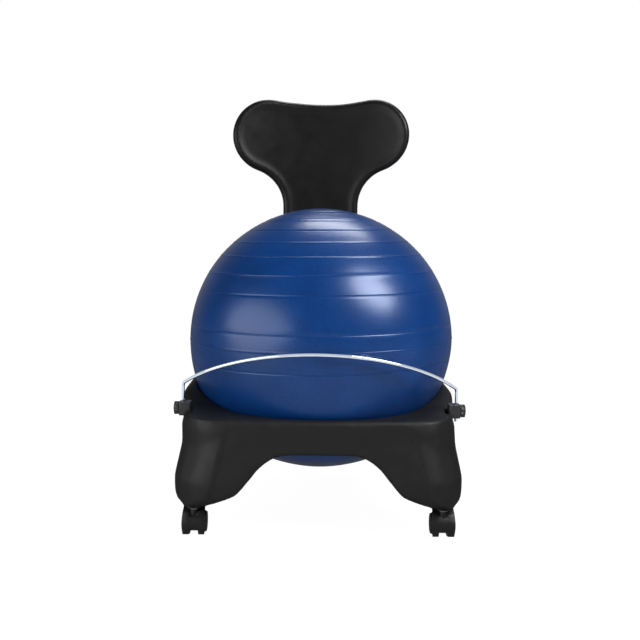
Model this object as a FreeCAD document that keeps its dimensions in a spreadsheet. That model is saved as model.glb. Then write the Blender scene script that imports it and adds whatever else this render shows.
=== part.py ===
import FreeCAD, Part
import math
import os
import Sketcher

# Balance ball chair: a blow-moulded four-legged base on twin-wheel casters cups an inflated
# exercise ball, with a steel bar in front of the ball and a backrest on a steel upright behind.
#
# Millimetres. The origin is on the floor under the ball's centre, +Z is up and the sitter faces -Y.
# Left and right are those of a viewer who stands in front of the chair, so right is +X.

DIMENSIONS = {
    # Ball
    "ball_diameter": 500.0,
    "ball_height": 321.0,
    "ball_skin": 2.0,
    "cup_gap": 0.3,
    "ball_neck_diameter": 24.0,
    "ball_neck_depth": 12.0,
    "plug_shank_diameter": 9.0,
    "plug_head_diameter": 16.0,
    "plug_head_thickness": 1.6,
    # Base moulding: the deck and its cup
    "wall": 5.0,
    "deck_height": 209.0,
    "rim_height": 240.0,
    "hump_half_length": 205.0,
    "rim_flat_half": 3.0,
    "deck_front": 230.0,
    "deck_front_bow": 10.0,
    "deck_side": 226.0,
    "deck_side_bow": 30.0,
    "deck_waist": 242.0,
    "deck_corner_radius": 72.0,
    "shoulder_width": 20.0,
    "shoulder_drop": 26.0,
    "shoulder_round": 7.0,
    "front_edge_round": 9.0,
    # Base moulding: the legs and the arches between them
    "arch_height": 146.6,
    "arch_flat_half": 52.0,
    "arch_corner_half": 78.0,
    "arch_corner_drop": 5.6,
    "arch_corner_round": -1.2,
    "arch_side_round": -4.0,
    "arch_waist_half": 117.0,
    "arch_waist_height": 109.0,
    "toe_half": 141.0,
    "toe_height": 81.0,
    "toe_round": 2.0,
    "leg_bottom_height": 52.0,
    "leg_wide_half": 251.5,
    "leg_wide_height": 102.0,
    "leg_foot_round": 16.0,
    "leg_corner_radius": 76.0,
    "leg_top_corner_radius": 88.0,
    # Casters
    "caster_offset": 216.0,
    "caster_trail": 12.0,
    "wheel_diameter": 45.0,
    "wheel_width": 12.5,
    "wheel_gap": 16.6,
    "wheel_edge_round": 5.0,
    "wheel_inner_chamfer": 0.8,
    "wheel_dish_inner": 5.0,
    "wheel_dish_outer": 15.0,
    "wheel_dish_depth": 1.2,
    "axle_diameter": 6.0,
    "axle_reach": 10.0,
    "running_gap": 0.05,
    "face_gap": 0.3,
    "web_thickness": 16.0,
    "hood_gap": 1.2,
    "hood_thickness": 2.4,
    "hood_low_height": 8.0,
    "hood_back_reach": 12.0,
    "hood_width": 40.4,
    "hood_boss_diameter": 18.0,
    "stem_diameter": 10.0,
    "stem_bottom_height": 24.0,
    "stem_top_height": 98.0,
    "collar_diameter": 16.0,
    "collar_thickness": 2.8,
    "socket_diameter": 16.0,
    "socket_length": 52.0,
    "socket_flange_diameter": 26.0,
    "socket_flange_thickness": 2.0,
    "socket_boss_diameter": 30.0,
    # Retaining bar
    "bar_diameter": 6.0,
    "bar_half_width": 243.0,
    "bar_leg_y": 157.0,
    "bar_tip_height": 197.0,
    "bar_shoulder_height": 255.5,
    "bar_apex_y": 258.8,
    "bar_apex_height": 325.5,
    "bar_bend_run": 14.0,
    "bar_bend_radius": 9.0,
    # Clamps that hold the bar
    "clamp_inner_x": 229.0,
    "clamp_outer_x": 249.0,
    "clamp_length": 26.0,
    "clamp_bottom_height": 202.0,
    "clamp_top_height": 225.0,
    "clamp_round": 2.5,
    "stud_diameter": 6.0,
    "stud_grip": 8.0,
    "knob_diameter": 23.0,
    "knob_length": 12.5,
    "knob_chamfer": 3.0,
    "knob_flute_diameter": 7.0,
    "knob_flute_depth": 1.6,
    "knob_flutes": 8,
    "clamp_screw_diameter": 4.0,
    "clamp_screw_length": 30.0,
    "clamp_screw_spread": 8.0,
    "clamp_screw_inset": 4.2,
    "clamp_screw_head": 7.0,
    "clamp_screw_head_depth": 2.6,
    # Backrest
    "pad_front_y": 222.0,
    "pad_thickness": 40.0,
    "pad_curve_radius": 520.0,
    "pad_bottom_height": 545.0,
    "pad_height": 260.9,
    "neck_half": 80.0,
    "flare_half": 134.5,
    "lobe_half": 185.8,
    "lobe_shoulder_half": 163.5,
    "lobe_top_half": 96.8,
    # Heights on the pad, as shares of the pad's height
    "neck_top_share": 0.139,
    "flare_share": 0.432,
    "lobe_share": 0.708,
    "lobe_shoulder_share": 0.915,
    "lobe_top_share": 0.996,
    "pad_edge_round": 9.0,
    "board_half_width": 50.0,
    "board_bottom_share": 0.103,
    "board_top_share": 0.617,
    "board_thickness": 8.0,
    "pad_backing": 4.0,
    "upright_width": 60.0,
    "upright_thickness": 6.0,
    "upright_bottom_height": 132.0,
    "upright_top_share": 0.594,
    "upright_corner_radius": 12.0,
    "upright_sink": 2.0,
    "upright_boss_half": 42.0,
    "upright_boss_drop": 6.0,
    "pad_screw_diameter": 6.0,
    "pad_screw_across": 15.0,
    "pad_screw_low_share": 0.211,
    "pad_screw_high_share": 0.498,
    "pad_screw_head_diameter": 11.0,
    "pad_screw_head_height": 3.3,
    "bolt_diameter": 8.0,
    "bolt_across": 16.0,
    "bolt_low_height": 160.0,
    "bolt_high_height": 190.0,
    "bolt_head_across": 13.0,
    "bolt_head_height": 5.3,
    "bolt_length": 22.0,
    "washer_diameter": 17.0,
    "washer_thickness": 1.6,
    "insert_diameter": 12.0,
    "insert_length": 16.0,
    "hole_gap": 0.2,
}

doc = FreeCAD.newDocument("balance_ball_chair")
sheet = doc.addObject("Spreadsheet::Sheet", "Sizes")
for row, (alias, value) in enumerate(DIMENSIONS.items(), start=1):
    sheet.set(f"A{row}", alias.replace("_", " "))
    sheet.set(f"B{row}", str(value))
    sheet.setAlias(f"B{row}", alias)
doc.recompute()

reader = doc.addObject("App::FeaturePython", "Reader")
pieces = []


# Expressions

def size(alias):
    """An expression that reads one cell of the sheet."""
    return f"Sizes.{alias}"


def number(expression):
    """The present value of an expression."""
    return float(reader.evalExpression(str(expression)))


def half(alias):
    return f"{size(alias)} / 2"


# The rise of a quarter circle over its chord, as a share of the radius
ROUND = 1 - math.sqrt(0.5)

SMOOTH = "smooth"

SIDES = (("Left", -1), ("Right", 1))
CORNERS = (
    ("FrontLeft", "front_left", -1, -1),
    ("FrontRight", "front_right", 1, -1),
    ("RearLeft", "rear_left", -1, 1),
    ("RearRight", "rear_right", 1, 1),
)

BALL_RADIUS = half("ball_diameter")
CUP_RADIUS = f"{BALL_RADIUS} + {size('cup_gap')}"
UPRIGHT_FRONT = f"{size('pad_front_y')} + {size('pad_thickness')} - {size('upright_sink')}"
UPRIGHT_BACK = f"{UPRIGHT_FRONT} + {size('upright_thickness')}"
WHEEL_RADIUS = half("wheel_diameter")
SEAT_HEIGHT = f"{size('leg_bottom_height')} + {size('socket_flange_thickness')}"
COLLAR_TOP = f"{size('leg_bottom_height')} - {size('face_gap')}"
HOOD_TOP = f"{COLLAR_TOP} - {size('collar_thickness')}"
def on_pad(share):
    """A height on the pad, from its share of the pad's height."""
    return f"({size('pad_bottom_height')} + {size(share)} * {size('pad_height')})"


UPRIGHT_TOP = on_pad("upright_top_share")
CLAMP_FRONT = f"-{size('bar_leg_y')} - {half('clamp_length')}"
CLAMP_BACK = f"-{size('bar_leg_y')} + {half('clamp_length')}"


# Primitives and booleans

def place(thing, x="0", y="0", z="0"):
    """Bind a thing's place to expressions, with its turn as it is."""
    for letter, expression in (("x", x), ("y", y), ("z", z)):
        thing.setExpression(f".Placement.Base.{letter}", str(expression))
    return thing


TURNS = {
    "X": FreeCAD.Rotation(FreeCAD.Vector(0, 1, 0), 90),
    "Y": FreeCAD.Rotation(FreeCAD.Vector(1, 0, 0), -90),
    "Z": FreeCAD.Rotation(),
}


def cylinder(name, radius, length, x="0", y="0", z="0", along="Z"):
    """A cylinder that starts at x, y, z and runs along an axis."""
    thing = doc.addObject("Part::Cylinder", name)
    thing.setExpression("Radius", str(radius))
    thing.setExpression("Height", str(length))
    thing.Placement = FreeCAD.Placement(FreeCAD.Vector(), TURNS[along])
    return place(thing, x, y, z)


def sphere(name, radius, z):
    thing = doc.addObject("Part::Sphere", name)
    thing.setExpression("Radius", str(radius))
    return place(thing, z=z)


def box(name, low, high):
    """A box between two corners, each three expressions."""
    thing = doc.addObject("Part::Box", name)
    for side, start, end in zip(("Length", "Width", "Height"), low, high):
        thing.setExpression(side, f"({end}) - ({start})")
    return place(thing, *low)


def prism(name, sides, across, length, x, y, z, along="Y"):
    """A regular prism that runs along an axis, across its flats."""
    thing = doc.addObject("Part::Prism", name)
    thing.Polygon = sides
    thing.setExpression("Circumradius", f"({across}) / 2 / cos(180 / {sides})")
    thing.setExpression("Height", str(length))
    thing.Placement = FreeCAD.Placement(FreeCAD.Vector(), TURNS[along])
    return place(thing, x, y, z)


def fuse(name, things):
    result = doc.addObject("Part::MultiFuse", name)
    result.Shapes = things
    return result


def common(name, things):
    result = doc.addObject("Part::MultiCommon", name)
    result.Shapes = things
    return result


def cut(name, base, tools):
    """What is left of a base without the tools."""
    result = doc.addObject("Part::Cut", name)
    result.Base = base
    result.Tool = tools[0] if len(tools) == 1 else fuse(name + "Tools", tools)
    return result


def group(name, things):
    """Identical fasteners in one node, as separate solids."""
    result = doc.addObject("Part::Compound", name)
    result.Links = things
    return result


def piece(label, thing):
    """Name a finished sub-part."""
    thing.Label = label
    pieces.append(thing)
    return thing


# Sketched bodies

def origin_part(body, role):
    return next(part for part in body.Origin.OriginFeatures if part.Role == role)


def sketch_on(body, plane, offset="0"):
    sketch = body.newObject("Sketcher::SketchObject", body.Name + "Sketch")
    sketch.AttachmentSupport = (origin_part(body, plane), [""])
    sketch.MapMode = "FlatFace"
    sketch.setExpression("AttachmentOffset.Base.z", str(offset))
    return sketch


def hold(sketch, kind, expression, *where):
    """Add a constraint whose size follows an expression."""
    index = sketch.addConstraint(Sketcher.Constraint(kind, *where, number(expression)))
    sketch.setExpression(f"Constraints[{index}]", expression)


def outline(sketch, corners):
    """
    Draw a closed outline through corners.

    A corner is (across, up) where a straight edge follows it, or (across, up, rise) where an arc
    does: the arc rises to the right of travel, or to the left where rise is negative. An arc whose
    rise is SMOOTH leaves its corner in line with the edge before it.
    """
    count = len(corners)
    points = [FreeCAD.Vector(number(corner[0]), number(corner[1]), 0) for corner in corners]
    heading = 0.0
    starts = []
    ends = []
    radii = []
    for index, corner in enumerate(corners):
        start = points[index]
        end = points[(index + 1) % count]
        chord = end - start
        chord_heading = math.atan2(chord.y, chord.x)
        leftward = False
        if len(corner) == 2:
            sketch.addGeometry(Part.LineSegment(start, end))
            heading = chord_heading
        else:
            if corner[2] == SMOOTH:
                turn = math.remainder(chord_heading - heading, 2 * math.pi)
                rise = chord.Length / 2 * math.tan(turn / 2)
                heading = chord_heading + turn
            else:
                rise = number(corner[2])
            leftward = rise < 0
            right = FreeCAD.Vector(chord.y, -chord.x, 0).normalize()
            middle = (start + end) * 0.5 + right * rise
            first, last = (end, start) if leftward else (start, end)
            sketch.addGeometry(Part.Arc(first, middle, last))
            radii.append((index, (chord.Length ** 2 / 4 + rise ** 2) / (2 * abs(rise))))
        starts.append((index, 2 if leftward else 1))
        ends.append((index, 1 if leftward else 2))
    for index, corner in enumerate(corners):
        sketch.addConstraint(Sketcher.Constraint("Coincident", *ends[index - 1], *starts[index]))
        hold(sketch, "DistanceX", corner[0], -1, 1, *starts[index])
        hold(sketch, "DistanceY", corner[1], -1, 1, *starts[index])
    for index, radius in radii:
        corner = corners[index]
        after = corners[(index + 1) % count]
        if corner[2] == SMOOTH:
            sketch.addConstraint(Sketcher.Constraint("Radius", index, radius))
            continue
        run = f"(({after[0]}) - ({corner[0]}))"
        climb = f"(({after[1]}) - ({corner[1]}))"
        rise = f"abs({corner[2]})"
        hold(sketch, "Radius", f"({run} ^ 2 / 4 + {climb} ^ 2 / 4 + {rise} ^ 2) / (2 * {rise})", index)


def mirrored(corners):
    """A right-hand run of corners, from low to high, closed by its mirror image."""
    left = []
    for index in range(len(corners) - 1, -1, -1):
        across, up = corners[index][:2]
        rise = corners[index - 1][2:] if index > 0 else ()
        left.append((f"-({across})", up) + rise)
    return corners + left


def rounded_rectangle(low_x, low_z, high_x, high_z, radius):
    arc = f"({radius}) * {ROUND}"
    return [
        (f"({low_x}) + ({radius})", low_z),
        (f"({high_x}) - ({radius})", low_z, arc),
        (high_x, f"({low_z}) + ({radius})"),
        (high_x, f"({high_z}) - ({radius})", arc),
        (f"({high_x}) - ({radius})", high_z),
        (f"({low_x}) + ({radius})", high_z, arc),
        (low_x, f"({high_z}) - ({radius})"),
        (low_x, f"({low_z}) + ({radius})", arc),
    ]


def rounded_square(reach, radius):
    return rounded_rectangle(f"-{reach}", f"-{reach}", reach, reach, radius)


def is_upright(edge):
    low, high = edge.firstVertex().Point, edge.lastVertex().Point
    return math.hypot(low.x - high.x, low.y - high.y) < 0.001 and abs(low.z - high.z) > 1


def round_edges(body, radius, chosen):
    """Fillet the chosen edges of a body's last feature."""
    base = body.Tip
    names = [f"Edge{index}" for index, edge in enumerate(base.Shape.Edges, start=1) if chosen(edge)]
    fillet = body.newObject("PartDesign::Fillet", body.Name + "Fillet")
    fillet.Base = (base, names)
    fillet.setExpression("Radius", str(radius))
    doc.recompute()


def extrusion(name, plane, corners, length, offset="0", both_ways=False, round_uprights=None):
    """A body padded from an outline, with its upright edges rounded where asked."""
    body = doc.addObject("PartDesign::Body", name)
    sketch = sketch_on(body, plane, offset)
    outline(sketch, corners)
    pad = body.newObject("PartDesign::Pad", name + "Pad")
    pad.Profile = sketch
    pad.setExpression("Length", str(length))
    if both_ways:
        pad.SideType = "Symmetric"
    doc.recompute()
    if round_uprights:
        round_edges(body, round_uprights, is_upright)
    return body


def loft(name, low_corners, low, high_corners, high):
    """A body that runs straight from one level outline up to another."""
    body = doc.addObject("PartDesign::Body", name)
    sketches = []
    for corners, height in ((low_corners, low), (high_corners, high)):
        sketches.append(sketch_on(body, "XY_Plane", height))
        outline(sketches[-1], corners)
    feature = body.newObject("PartDesign::AdditiveLoft", name + "Loft")
    feature.Profile = sketches[0]
    feature.Sections = [sketches[1]]
    feature.Ruled = True
    doc.recompute()
    return body


def turned(name, corners, axis="Z_Axis", plane="XZ_Plane"):
    """A body turned about an axis from an outline."""
    body = doc.addObject("PartDesign::Body", name)
    sketch = sketch_on(body, plane)
    outline(sketch, corners)
    revolution = body.newObject("PartDesign::Revolution", name + "Turn")
    revolution.Profile = sketch
    revolution.ReferenceAxis = (origin_part(body, axis), [""])
    revolution.Angle = 360
    doc.recompute()
    return body


# Base moulding

def arch_and_legs(inset):
    """Two legs and the arch between them, as they look from the front and from the side."""
    deck_top = f"{size('deck_height')} - ({inset})"
    outer = [
        (size("caster_offset"), f"{size('leg_bottom_height')} + ({inset})", size("leg_foot_round")),
        (f"{size('leg_wide_half')} - ({inset})", size("leg_wide_height")),
        (f"{size('leg_wide_half')} - ({inset})", deck_top),
    ]
    corner_height = f"{size('arch_height')} - {size('arch_corner_drop')}"

    def followed(across, across_share, up, up_share, *rise):
        """A corner of the arch, moved by shares of the inset that keep a sloping wall even."""
        return (f"{across} + ({inset}) * {across_share}", f"{up} + ({inset}) * {up_share}", *rise)

    arch = [
        followed(size("arch_flat_half"), -0.3, size("arch_height"), 1.0, size("arch_corner_round")),
        followed(size("arch_corner_half"), 0.4, corner_height, 0.9, size("arch_side_round")),
        followed(size("arch_waist_half"), 0.9, size("arch_waist_height"), 0.3),
        followed(size("toe_half"), 0.6, size("toe_height"), 0.7, size("toe_round")),
    ]
    return mirrored(arch + outer)


def base_form(tag, inset):
    """The outer form of the base, or at an inset the hollow inside its wall."""
    deck_side = f"({size('deck_side')} - ({inset}))"
    deck_front = f"({size('deck_front')} - ({inset}))"
    deck_bottom = f"({size('arch_height')} + ({inset}))"
    deck_top = f"({size('deck_height')} - ({inset}))"
    rim_top = f"({size('rim_height')} - ({inset}))"
    plan = extrusion(
        tag + "DeckPlan", "XY_Plane",
        [
            (f"-{deck_side}", f"-{deck_front}", size("deck_front_bow")),
            (deck_side, f"-{deck_front}", size("deck_side_bow")),
            (deck_side, deck_front, size("deck_front_bow")),
            (f"-{deck_side}", deck_front, size("deck_side_bow")),
        ],
        f"{rim_top} - {deck_bottom}", deck_bottom,
        round_uprights=f"{size('deck_corner_radius')} - ({inset})",
    )
    # From the front, the deck's sides lean out from a waist to a round shoulder
    widest = f"({size('deck_side')} + {size('deck_side_bow')} - ({inset}))"
    front_view = extrusion(
        tag + "DeckFrontView", "XZ_Plane",
        mirrored([
            (f"{size('deck_waist')} - ({inset})", deck_bottom),
            (widest, f"{rim_top} - {size('shoulder_drop')}", size("shoulder_round")),
            (f"{widest} - {size('shoulder_width')}", rim_top),
        ]),
        f"{deck_front} * 3", both_ways=True,
    )
    # From the side, the rim rises in an S from the flat front and back to its middle
    run = f"(({size('hump_half_length')} - {size('rim_flat_half')}) / 2)"
    climb = f"(({rim_top} - {deck_top}) / 2)"
    bend = f"(({run} ^ 2 + {climb} ^ 2) / (2 * {climb}))"
    rise = f"{bend} - sqrt({bend} ^ 2 - ({run} ^ 2 + {climb} ^ 2) / 4)"
    front = f"({deck_front} + {size('deck_front_bow')})"
    side_view = extrusion(
        tag + "DeckSideView", "YZ_Plane",
        mirrored([
            (front, deck_bottom),
            (front, f"{deck_top} - {size('front_edge_round')}", f"{size('front_edge_round')} * {ROUND}"),
            (f"{front} - {size('front_edge_round')}", deck_top),
            (size("hump_half_length"), deck_top, f"-({rise})"),
            (f"{size('rim_flat_half')} + {run}", f"({deck_top} + {rim_top}) / 2", rise),
            (size("rim_flat_half"), rim_top),
        ]),
        f"{widest} * 3", both_ways=True,
    )
    deck = common(tag + "Deck", [plan, front_view, side_view])

    reach = f"({size('leg_wide_half')} - ({inset}))"
    legs_front_view = extrusion(
        tag + "LegsFrontView", "XZ_Plane", arch_and_legs(inset), f"{reach} * 2", both_ways=True)
    legs_side_view = extrusion(
        tag + "LegsSideView", "YZ_Plane", arch_and_legs(inset), f"{reach} * 2", both_ways=True)
    foot_plan = rounded_square(reach, f"{size('leg_corner_radius')} - ({inset})")
    top_plan = rounded_square(deck_front, f"{size('leg_top_corner_radius')} - ({inset})")
    legs_plan = fuse(tag + "LegsPlan", [
        extrusion(tag + "LegsFoot", "XY_Plane", foot_plan, size("leg_wide_height")),
        loft(tag + "LegsLean", foot_plan, size("leg_wide_height"), top_plan, size("deck_height")),
    ])
    legs = common(tag + "Legs", [legs_front_view, legs_side_view, legs_plan])
    solid = fuse(tag + "Solid", [deck, legs])
    cup = sphere(tag + "Cup", f"{CUP_RADIUS} + ({inset})", size("ball_height"))
    return cut(tag + "Form", solid, [cup])


def base_moulding():
    """The hollow base, solid where the casters, the clamps and the upright are fastened."""
    upright_boss = box(
        "UprightBoss",
        (f"-{size('upright_boss_half')}", size("deck_front"), size("arch_height")),
        (size("upright_boss_half"), UPRIGHT_FRONT, f"{size('deck_height')} - {size('upright_boss_drop')}"),
    )
    outer = fuse("Outside", [base_form("Outer", "0"), upright_boss])
    solid_blocks = [box(
        "UprightBlock",
        (f"-{size('upright_boss_half')}", f"{size('deck_front')} - {size('wall')} * 2", size("arch_height")),
        (size("upright_boss_half"), UPRIGHT_FRONT, size("deck_height")),
    )]
    recesses = []
    for side, toward in SIDES:
        inner = f"{toward} * ({size('clamp_inner_x')} - {size('wall')} * 3)"
        outer_x = f"{toward} * ({size('clamp_outer_x')} + {size('wall')} * 2)"
        low_x, high_x = (inner, outer_x) if toward > 0 else (outer_x, inner)
        solid_blocks.append(box(
            f"{side}ClampBlock",
            (low_x, f"{CLAMP_FRONT} - {size('wall')} * 2",
             f"{size('clamp_bottom_height')} - {size('wall')} * 3"),
            (high_x, f"{CLAMP_BACK} + {size('wall')} * 2", size("rim_height")),
        ))
        recesses.append(box(f"{side}ClampRecess", *clamp_corners(toward)))
        for index, y in enumerate(clamp_screw_places()):
            recesses.append(cylinder(
                f"{side}ClampScrewHole{index}", half("clamp_screw_diameter"), size("clamp_screw_length"),
                clamp_screw_x(toward), y, f"{size('clamp_top_height')} - {size('clamp_screw_length')}"))
        # The bar's tip stands in a groove of the base's side
        recesses.append(cylinder(
            f"{side}TipRoom", f"{half('bar_diameter')} + {size('face_gap')} * 2", size("clamp_length"),
            f"{toward} * {size('bar_half_width')}", f"-{size('bar_leg_y')}",
            f"{size('bar_tip_height')} - {size('bar_diameter')} / 2"))
    for corner, _, way_x, way_y in CORNERS:
        x = f"{way_x} * {size('caster_offset')}"
        y = f"{way_y} * {size('caster_offset')}"
        solid_blocks.append(cylinder(
            f"{corner}SocketBlock", half("socket_boss_diameter"),
            f"{size('socket_length')} + {size('wall')} * 2", x, y, size("leg_bottom_height")))
        recesses.append(cylinder(
            f"{corner}SocketSeat", half("socket_boss_diameter"), SEAT_HEIGHT, x, y))
        recesses.append(cylinder(
            f"{corner}SocketHole", half("socket_diameter"), f"{SEAT_HEIGHT} + {size('socket_length')}", x, y))
    for index, (x, z) in enumerate(bolt_places()):
        recesses.append(cylinder(
            f"InsertHole{index}", half("insert_diameter"), size("insert_length"),
            x, f"{UPRIGHT_FRONT} - {size('insert_length')}", z, along="Y"))
    hollow = cut("Hollow", base_form("Inner", size("wall")), solid_blocks)
    piece("base_moulding", cut("BaseMoulding", outer, [hollow] + recesses))


# Ball

def ball():
    """The ball's skin, closed at the bottom by a plug in a thickened neck."""
    bottom = f"{size('ball_height')} - {BALL_RADIUS}"
    air = cut("Air", sphere("AirSphere", f"{BALL_RADIUS} - {size('ball_skin')}", size("ball_height")), [
        cylinder("Neck", half("ball_neck_diameter"), size("ball_neck_depth"), z=bottom),
    ])
    piece("ball", cut("Ball", sphere("BallSphere", BALL_RADIUS, size("ball_height")), [
        air,
        cylinder("PlugHole", f"{half('plug_shank_diameter')} + {size('running_gap')}",
                 size("ball_neck_depth"), z=bottom),
        cylinder("PlugSeat", f"{half('plug_head_diameter')} + {size('running_gap')}",
                 size("plug_head_thickness"), z=bottom),
    ]))
    piece("ball_plug", fuse("BallPlug", [
        cylinder("PlugShank", half("plug_shank_diameter"), size("ball_neck_depth"), z=bottom),
        cylinder("PlugHead", half("plug_head_diameter"), size("plug_head_thickness"), z=bottom),
    ]))


# Retaining bar and its clamps

def bar_path():
    """Up one leg, round the front of the ball in a leaning arc, and down the other leg."""
    side_x = number(size("bar_half_width"))
    leg_y = -number(size("bar_leg_y"))
    tip_z = number(size("bar_tip_height"))
    shoulder_z = number(size("bar_shoulder_height"))
    apex = FreeCAD.Vector(0, -number(size("bar_apex_y")), number(size("bar_apex_height")))
    bend_run = number(size("bar_bend_run"))
    bend_radius = number(size("bar_bend_radius"))
    # In the leaning plane the arc touches the line from each shoulder and is level at the apex
    foot = FreeCAD.Vector(0, leg_y, shoulder_z)
    lean = apex - foot
    height = lean.Length
    lean.normalize()
    level = (side_x ** 2 + height ** 2 - bend_run ** 2) / (2 * (side_x + bend_run))
    sideways = (side_x - level) / (level + bend_run)
    upward = height / (level + bend_run)
    shoulder = FreeCAD.Vector(side_x, leg_y, shoulder_z)
    toward = FreeCAD.Vector(-sideways, 0, 0) + lean * upward
    arc_start = shoulder + toward * bend_run
    # The bend at the shoulder is tangent to the leg and to that line
    down = FreeCAD.Vector(0, 0, -1)
    opening = down.getAngle(toward)
    tangent = bend_radius / math.tan(opening / 2)
    bend_low = shoulder + down * tangent
    bend_high = shoulder + toward * tangent
    bisector = (down + toward).normalize()
    bend_middle = shoulder + bisector * (bend_radius / math.sin(opening / 2) - bend_radius)
    tip = FreeCAD.Vector(side_x, leg_y, tip_z)

    def flip(point):
        return FreeCAD.Vector(-point.x, point.y, point.z)

    edges = [
        Part.LineSegment(tip, bend_low),
        Part.Arc(bend_low, bend_middle, bend_high),
        Part.LineSegment(bend_high, arc_start),
        Part.Arc(arc_start, apex, flip(arc_start)),
        Part.LineSegment(flip(arc_start), flip(bend_high)),
        Part.Arc(flip(bend_high), flip(bend_middle), flip(bend_low)),
        Part.LineSegment(flip(bend_low), flip(tip)),
    ]
    return Part.Wire([edge.toShape() for edge in edges]), tip


def retaining_bar():
    path, tip = bar_path()
    radius = number(half("bar_diameter"))
    section = Part.Wire(Part.makeCircle(radius, tip, FreeCAD.Vector(0, 0, 1)))
    bar = doc.addObject("Part::Feature", "RetainingBar")
    bar.Shape = path.makePipeShell([section], True, False)
    ratio = bar.Shape.Volume / (math.pi * radius ** 2 * path.Length)
    print(f"retaining bar: {path.Length:.1f} mm long, volume over section times length {ratio:.4f}")
    piece("retaining_bar", bar)


def clamp_corners(toward):
    """The low and high corners of one clamp block."""
    near = f"{toward} * {size('clamp_inner_x')}"
    far = f"{toward} * {size('clamp_outer_x')}"
    low_x, high_x = (near, far) if toward > 0 else (far, near)
    return (
        (low_x, CLAMP_FRONT, size("clamp_bottom_height")),
        (high_x, CLAMP_BACK, size("clamp_top_height")),
    )


def clamp_screw_x(toward):
    return f"{toward} * ({size('clamp_inner_x')} + {size('clamp_screw_inset')})"


def clamp_screw_places():
    return [f"-{size('bar_leg_y')} + {way} * {size('clamp_screw_spread')}" for way in (-1, 1)]


def clamps():
    """A block on each side of the deck grips a leg of the bar with a knobbed stud."""
    middle = f"({size('clamp_bottom_height')} + {size('clamp_top_height')}) / 2"
    top = size("clamp_top_height")
    screws = []
    for side, toward in SIDES:
        label = side.lower()
        low, high = clamp_corners(toward)
        leg_x = f"{toward} * {size('bar_half_width')}"
        bore = f"{half('bar_diameter')} + {size('running_gap')}"
        stud_start = f"{size('bar_half_width')} + {half('bar_diameter')} + {size('face_gap')}"
        knob_start = f"({size('clamp_outer_x')} + {size('face_gap')})"
        stud_end = f"{knob_start} + {size('stud_grip')}"
        holes = [
            cylinder(f"{side}BarHole", bore, size("rim_height"), leg_x, f"-{size('bar_leg_y')}"),
            cylinder(
                f"{side}StudHole", f"{half('stud_diameter')} + {size('running_gap')}",
                f"{size('clamp_outer_x')} - {size('bar_half_width')}",
                size("bar_half_width") if toward > 0 else f"-{size('clamp_outer_x')}",
                f"-{size('bar_leg_y')}", middle, along="X"),
        ]
        for index, y in enumerate(clamp_screw_places()):
            x = clamp_screw_x(toward)
            holes.append(cylinder(
                f"{side}ScrewWay{index}", f"{half('clamp_screw_diameter')} + {size('running_gap')}",
                size("clamp_screw_length"), x, y, f"{top} - {size('clamp_screw_length')}"))
            holes.append(cylinder(
                f"{side}ScrewSeat{index}", f"{half('clamp_screw_head')} + {size('running_gap')}",
                size("clamp_screw_head_depth"), x, y, f"{top} - {size('clamp_screw_head_depth')}"))
            screws.append(fuse(f"{side}Screw{index}", [
                cylinder(f"{side}ScrewShank{index}", half("clamp_screw_diameter"),
                         size("clamp_screw_length"), x, y, f"{top} - {size('clamp_screw_length')}"),
                cylinder(f"{side}ScrewHead{index}", half("clamp_screw_head"),
                         size("clamp_screw_head_depth"), x, y, f"{top} - {size('clamp_screw_head_depth')}"),
            ]))
        block = extrusion(
            f"{side}Block", "XY_Plane",
            [(low[0], low[1]), (high[0], low[1]), (high[0], high[1]), (low[0], high[1])],
            f"{high[2]} - {low[2]}", low[2], round_uprights=size("clamp_round"),
        )
        piece(f"{label}_clamp_block", cut(f"{side}ClampBlockPiece", block, holes))
        start = stud_start if toward > 0 else f"-({stud_end})"
        piece(f"{label}_clamp_stud", cylinder(
            f"{side}Stud", half("stud_diameter"), f"{stud_end} - ({stud_start})",
            start, f"-{size('bar_leg_y')}", middle, along="X"))
        piece(f"{label}_clamp_knob", knob(side, toward, knob_start, middle))
    piece("clamp_screws", group("ClampScrews", screws))


def knob(side, toward, start, height):
    """A fluted knob with chamfered ends, open towards the block for its stud."""
    radius = half("knob_diameter")
    chamfer = size("knob_chamfer")
    far = size("knob_length")
    body = turned(
        f"{side}KnobTurned",
        [
            ("0", half("stud_diameter")),
            (size("stud_grip"), half("stud_diameter")),
            (size("stud_grip"), "0"),
            (far, "0"),
            (far, f"{radius} - {chamfer}"),
            (f"{far} - {chamfer}", radius),
            (f"{chamfer} / 3", radius),
            ("0", f"{radius} - {chamfer} / 3"),
        ],
        axis="X_Axis", plane="XY_Plane",
    )
    flutes = []
    for index in range(int(number(size("knob_flutes")))):
        angle = f"360 * {index} / {size('knob_flutes')}"
        reach = f"({radius} + {half('knob_flute_diameter')} - {size('knob_flute_depth')})"
        flutes.append(cylinder(
            f"{side}Flute{index}", half("knob_flute_diameter"), far,
            "0", f"{reach} * cos({angle})", f"{reach} * sin({angle})", along="X"))
    whole = cut(f"{side}Knob", body, flutes)
    whole.Placement = FreeCAD.Placement(
        FreeCAD.Vector(), FreeCAD.Rotation(FreeCAD.Vector(0, 0, 1), 0 if toward > 0 else 180))
    return place(whole, f"{toward} * {start}", f"-{size('bar_leg_y')}", height)


# Backrest

def bolt_places():
    return [
        (f"{way} * {size('bolt_across')}", size(height))
        for height in ("bolt_low_height", "bolt_high_height") for way in (-1, 1)
    ]


def pad_screw_places():
    return [
        (f"{way} * {size('pad_screw_across')}", on_pad(share))
        for share in ("pad_screw_low_share", "pad_screw_high_share") for way in (-1, 1)
    ]


def pocket(body, name, plane, corners):
    """Cut an outline right through a body."""
    sketch = sketch_on(body, plane)
    outline(sketch, corners)
    feature = body.newObject("PartDesign::Pocket", name)
    feature.Profile = sketch
    feature.SideType = "Symmetric"
    feature.Type = "ThroughAll"
    doc.recompute()
    return feature


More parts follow.
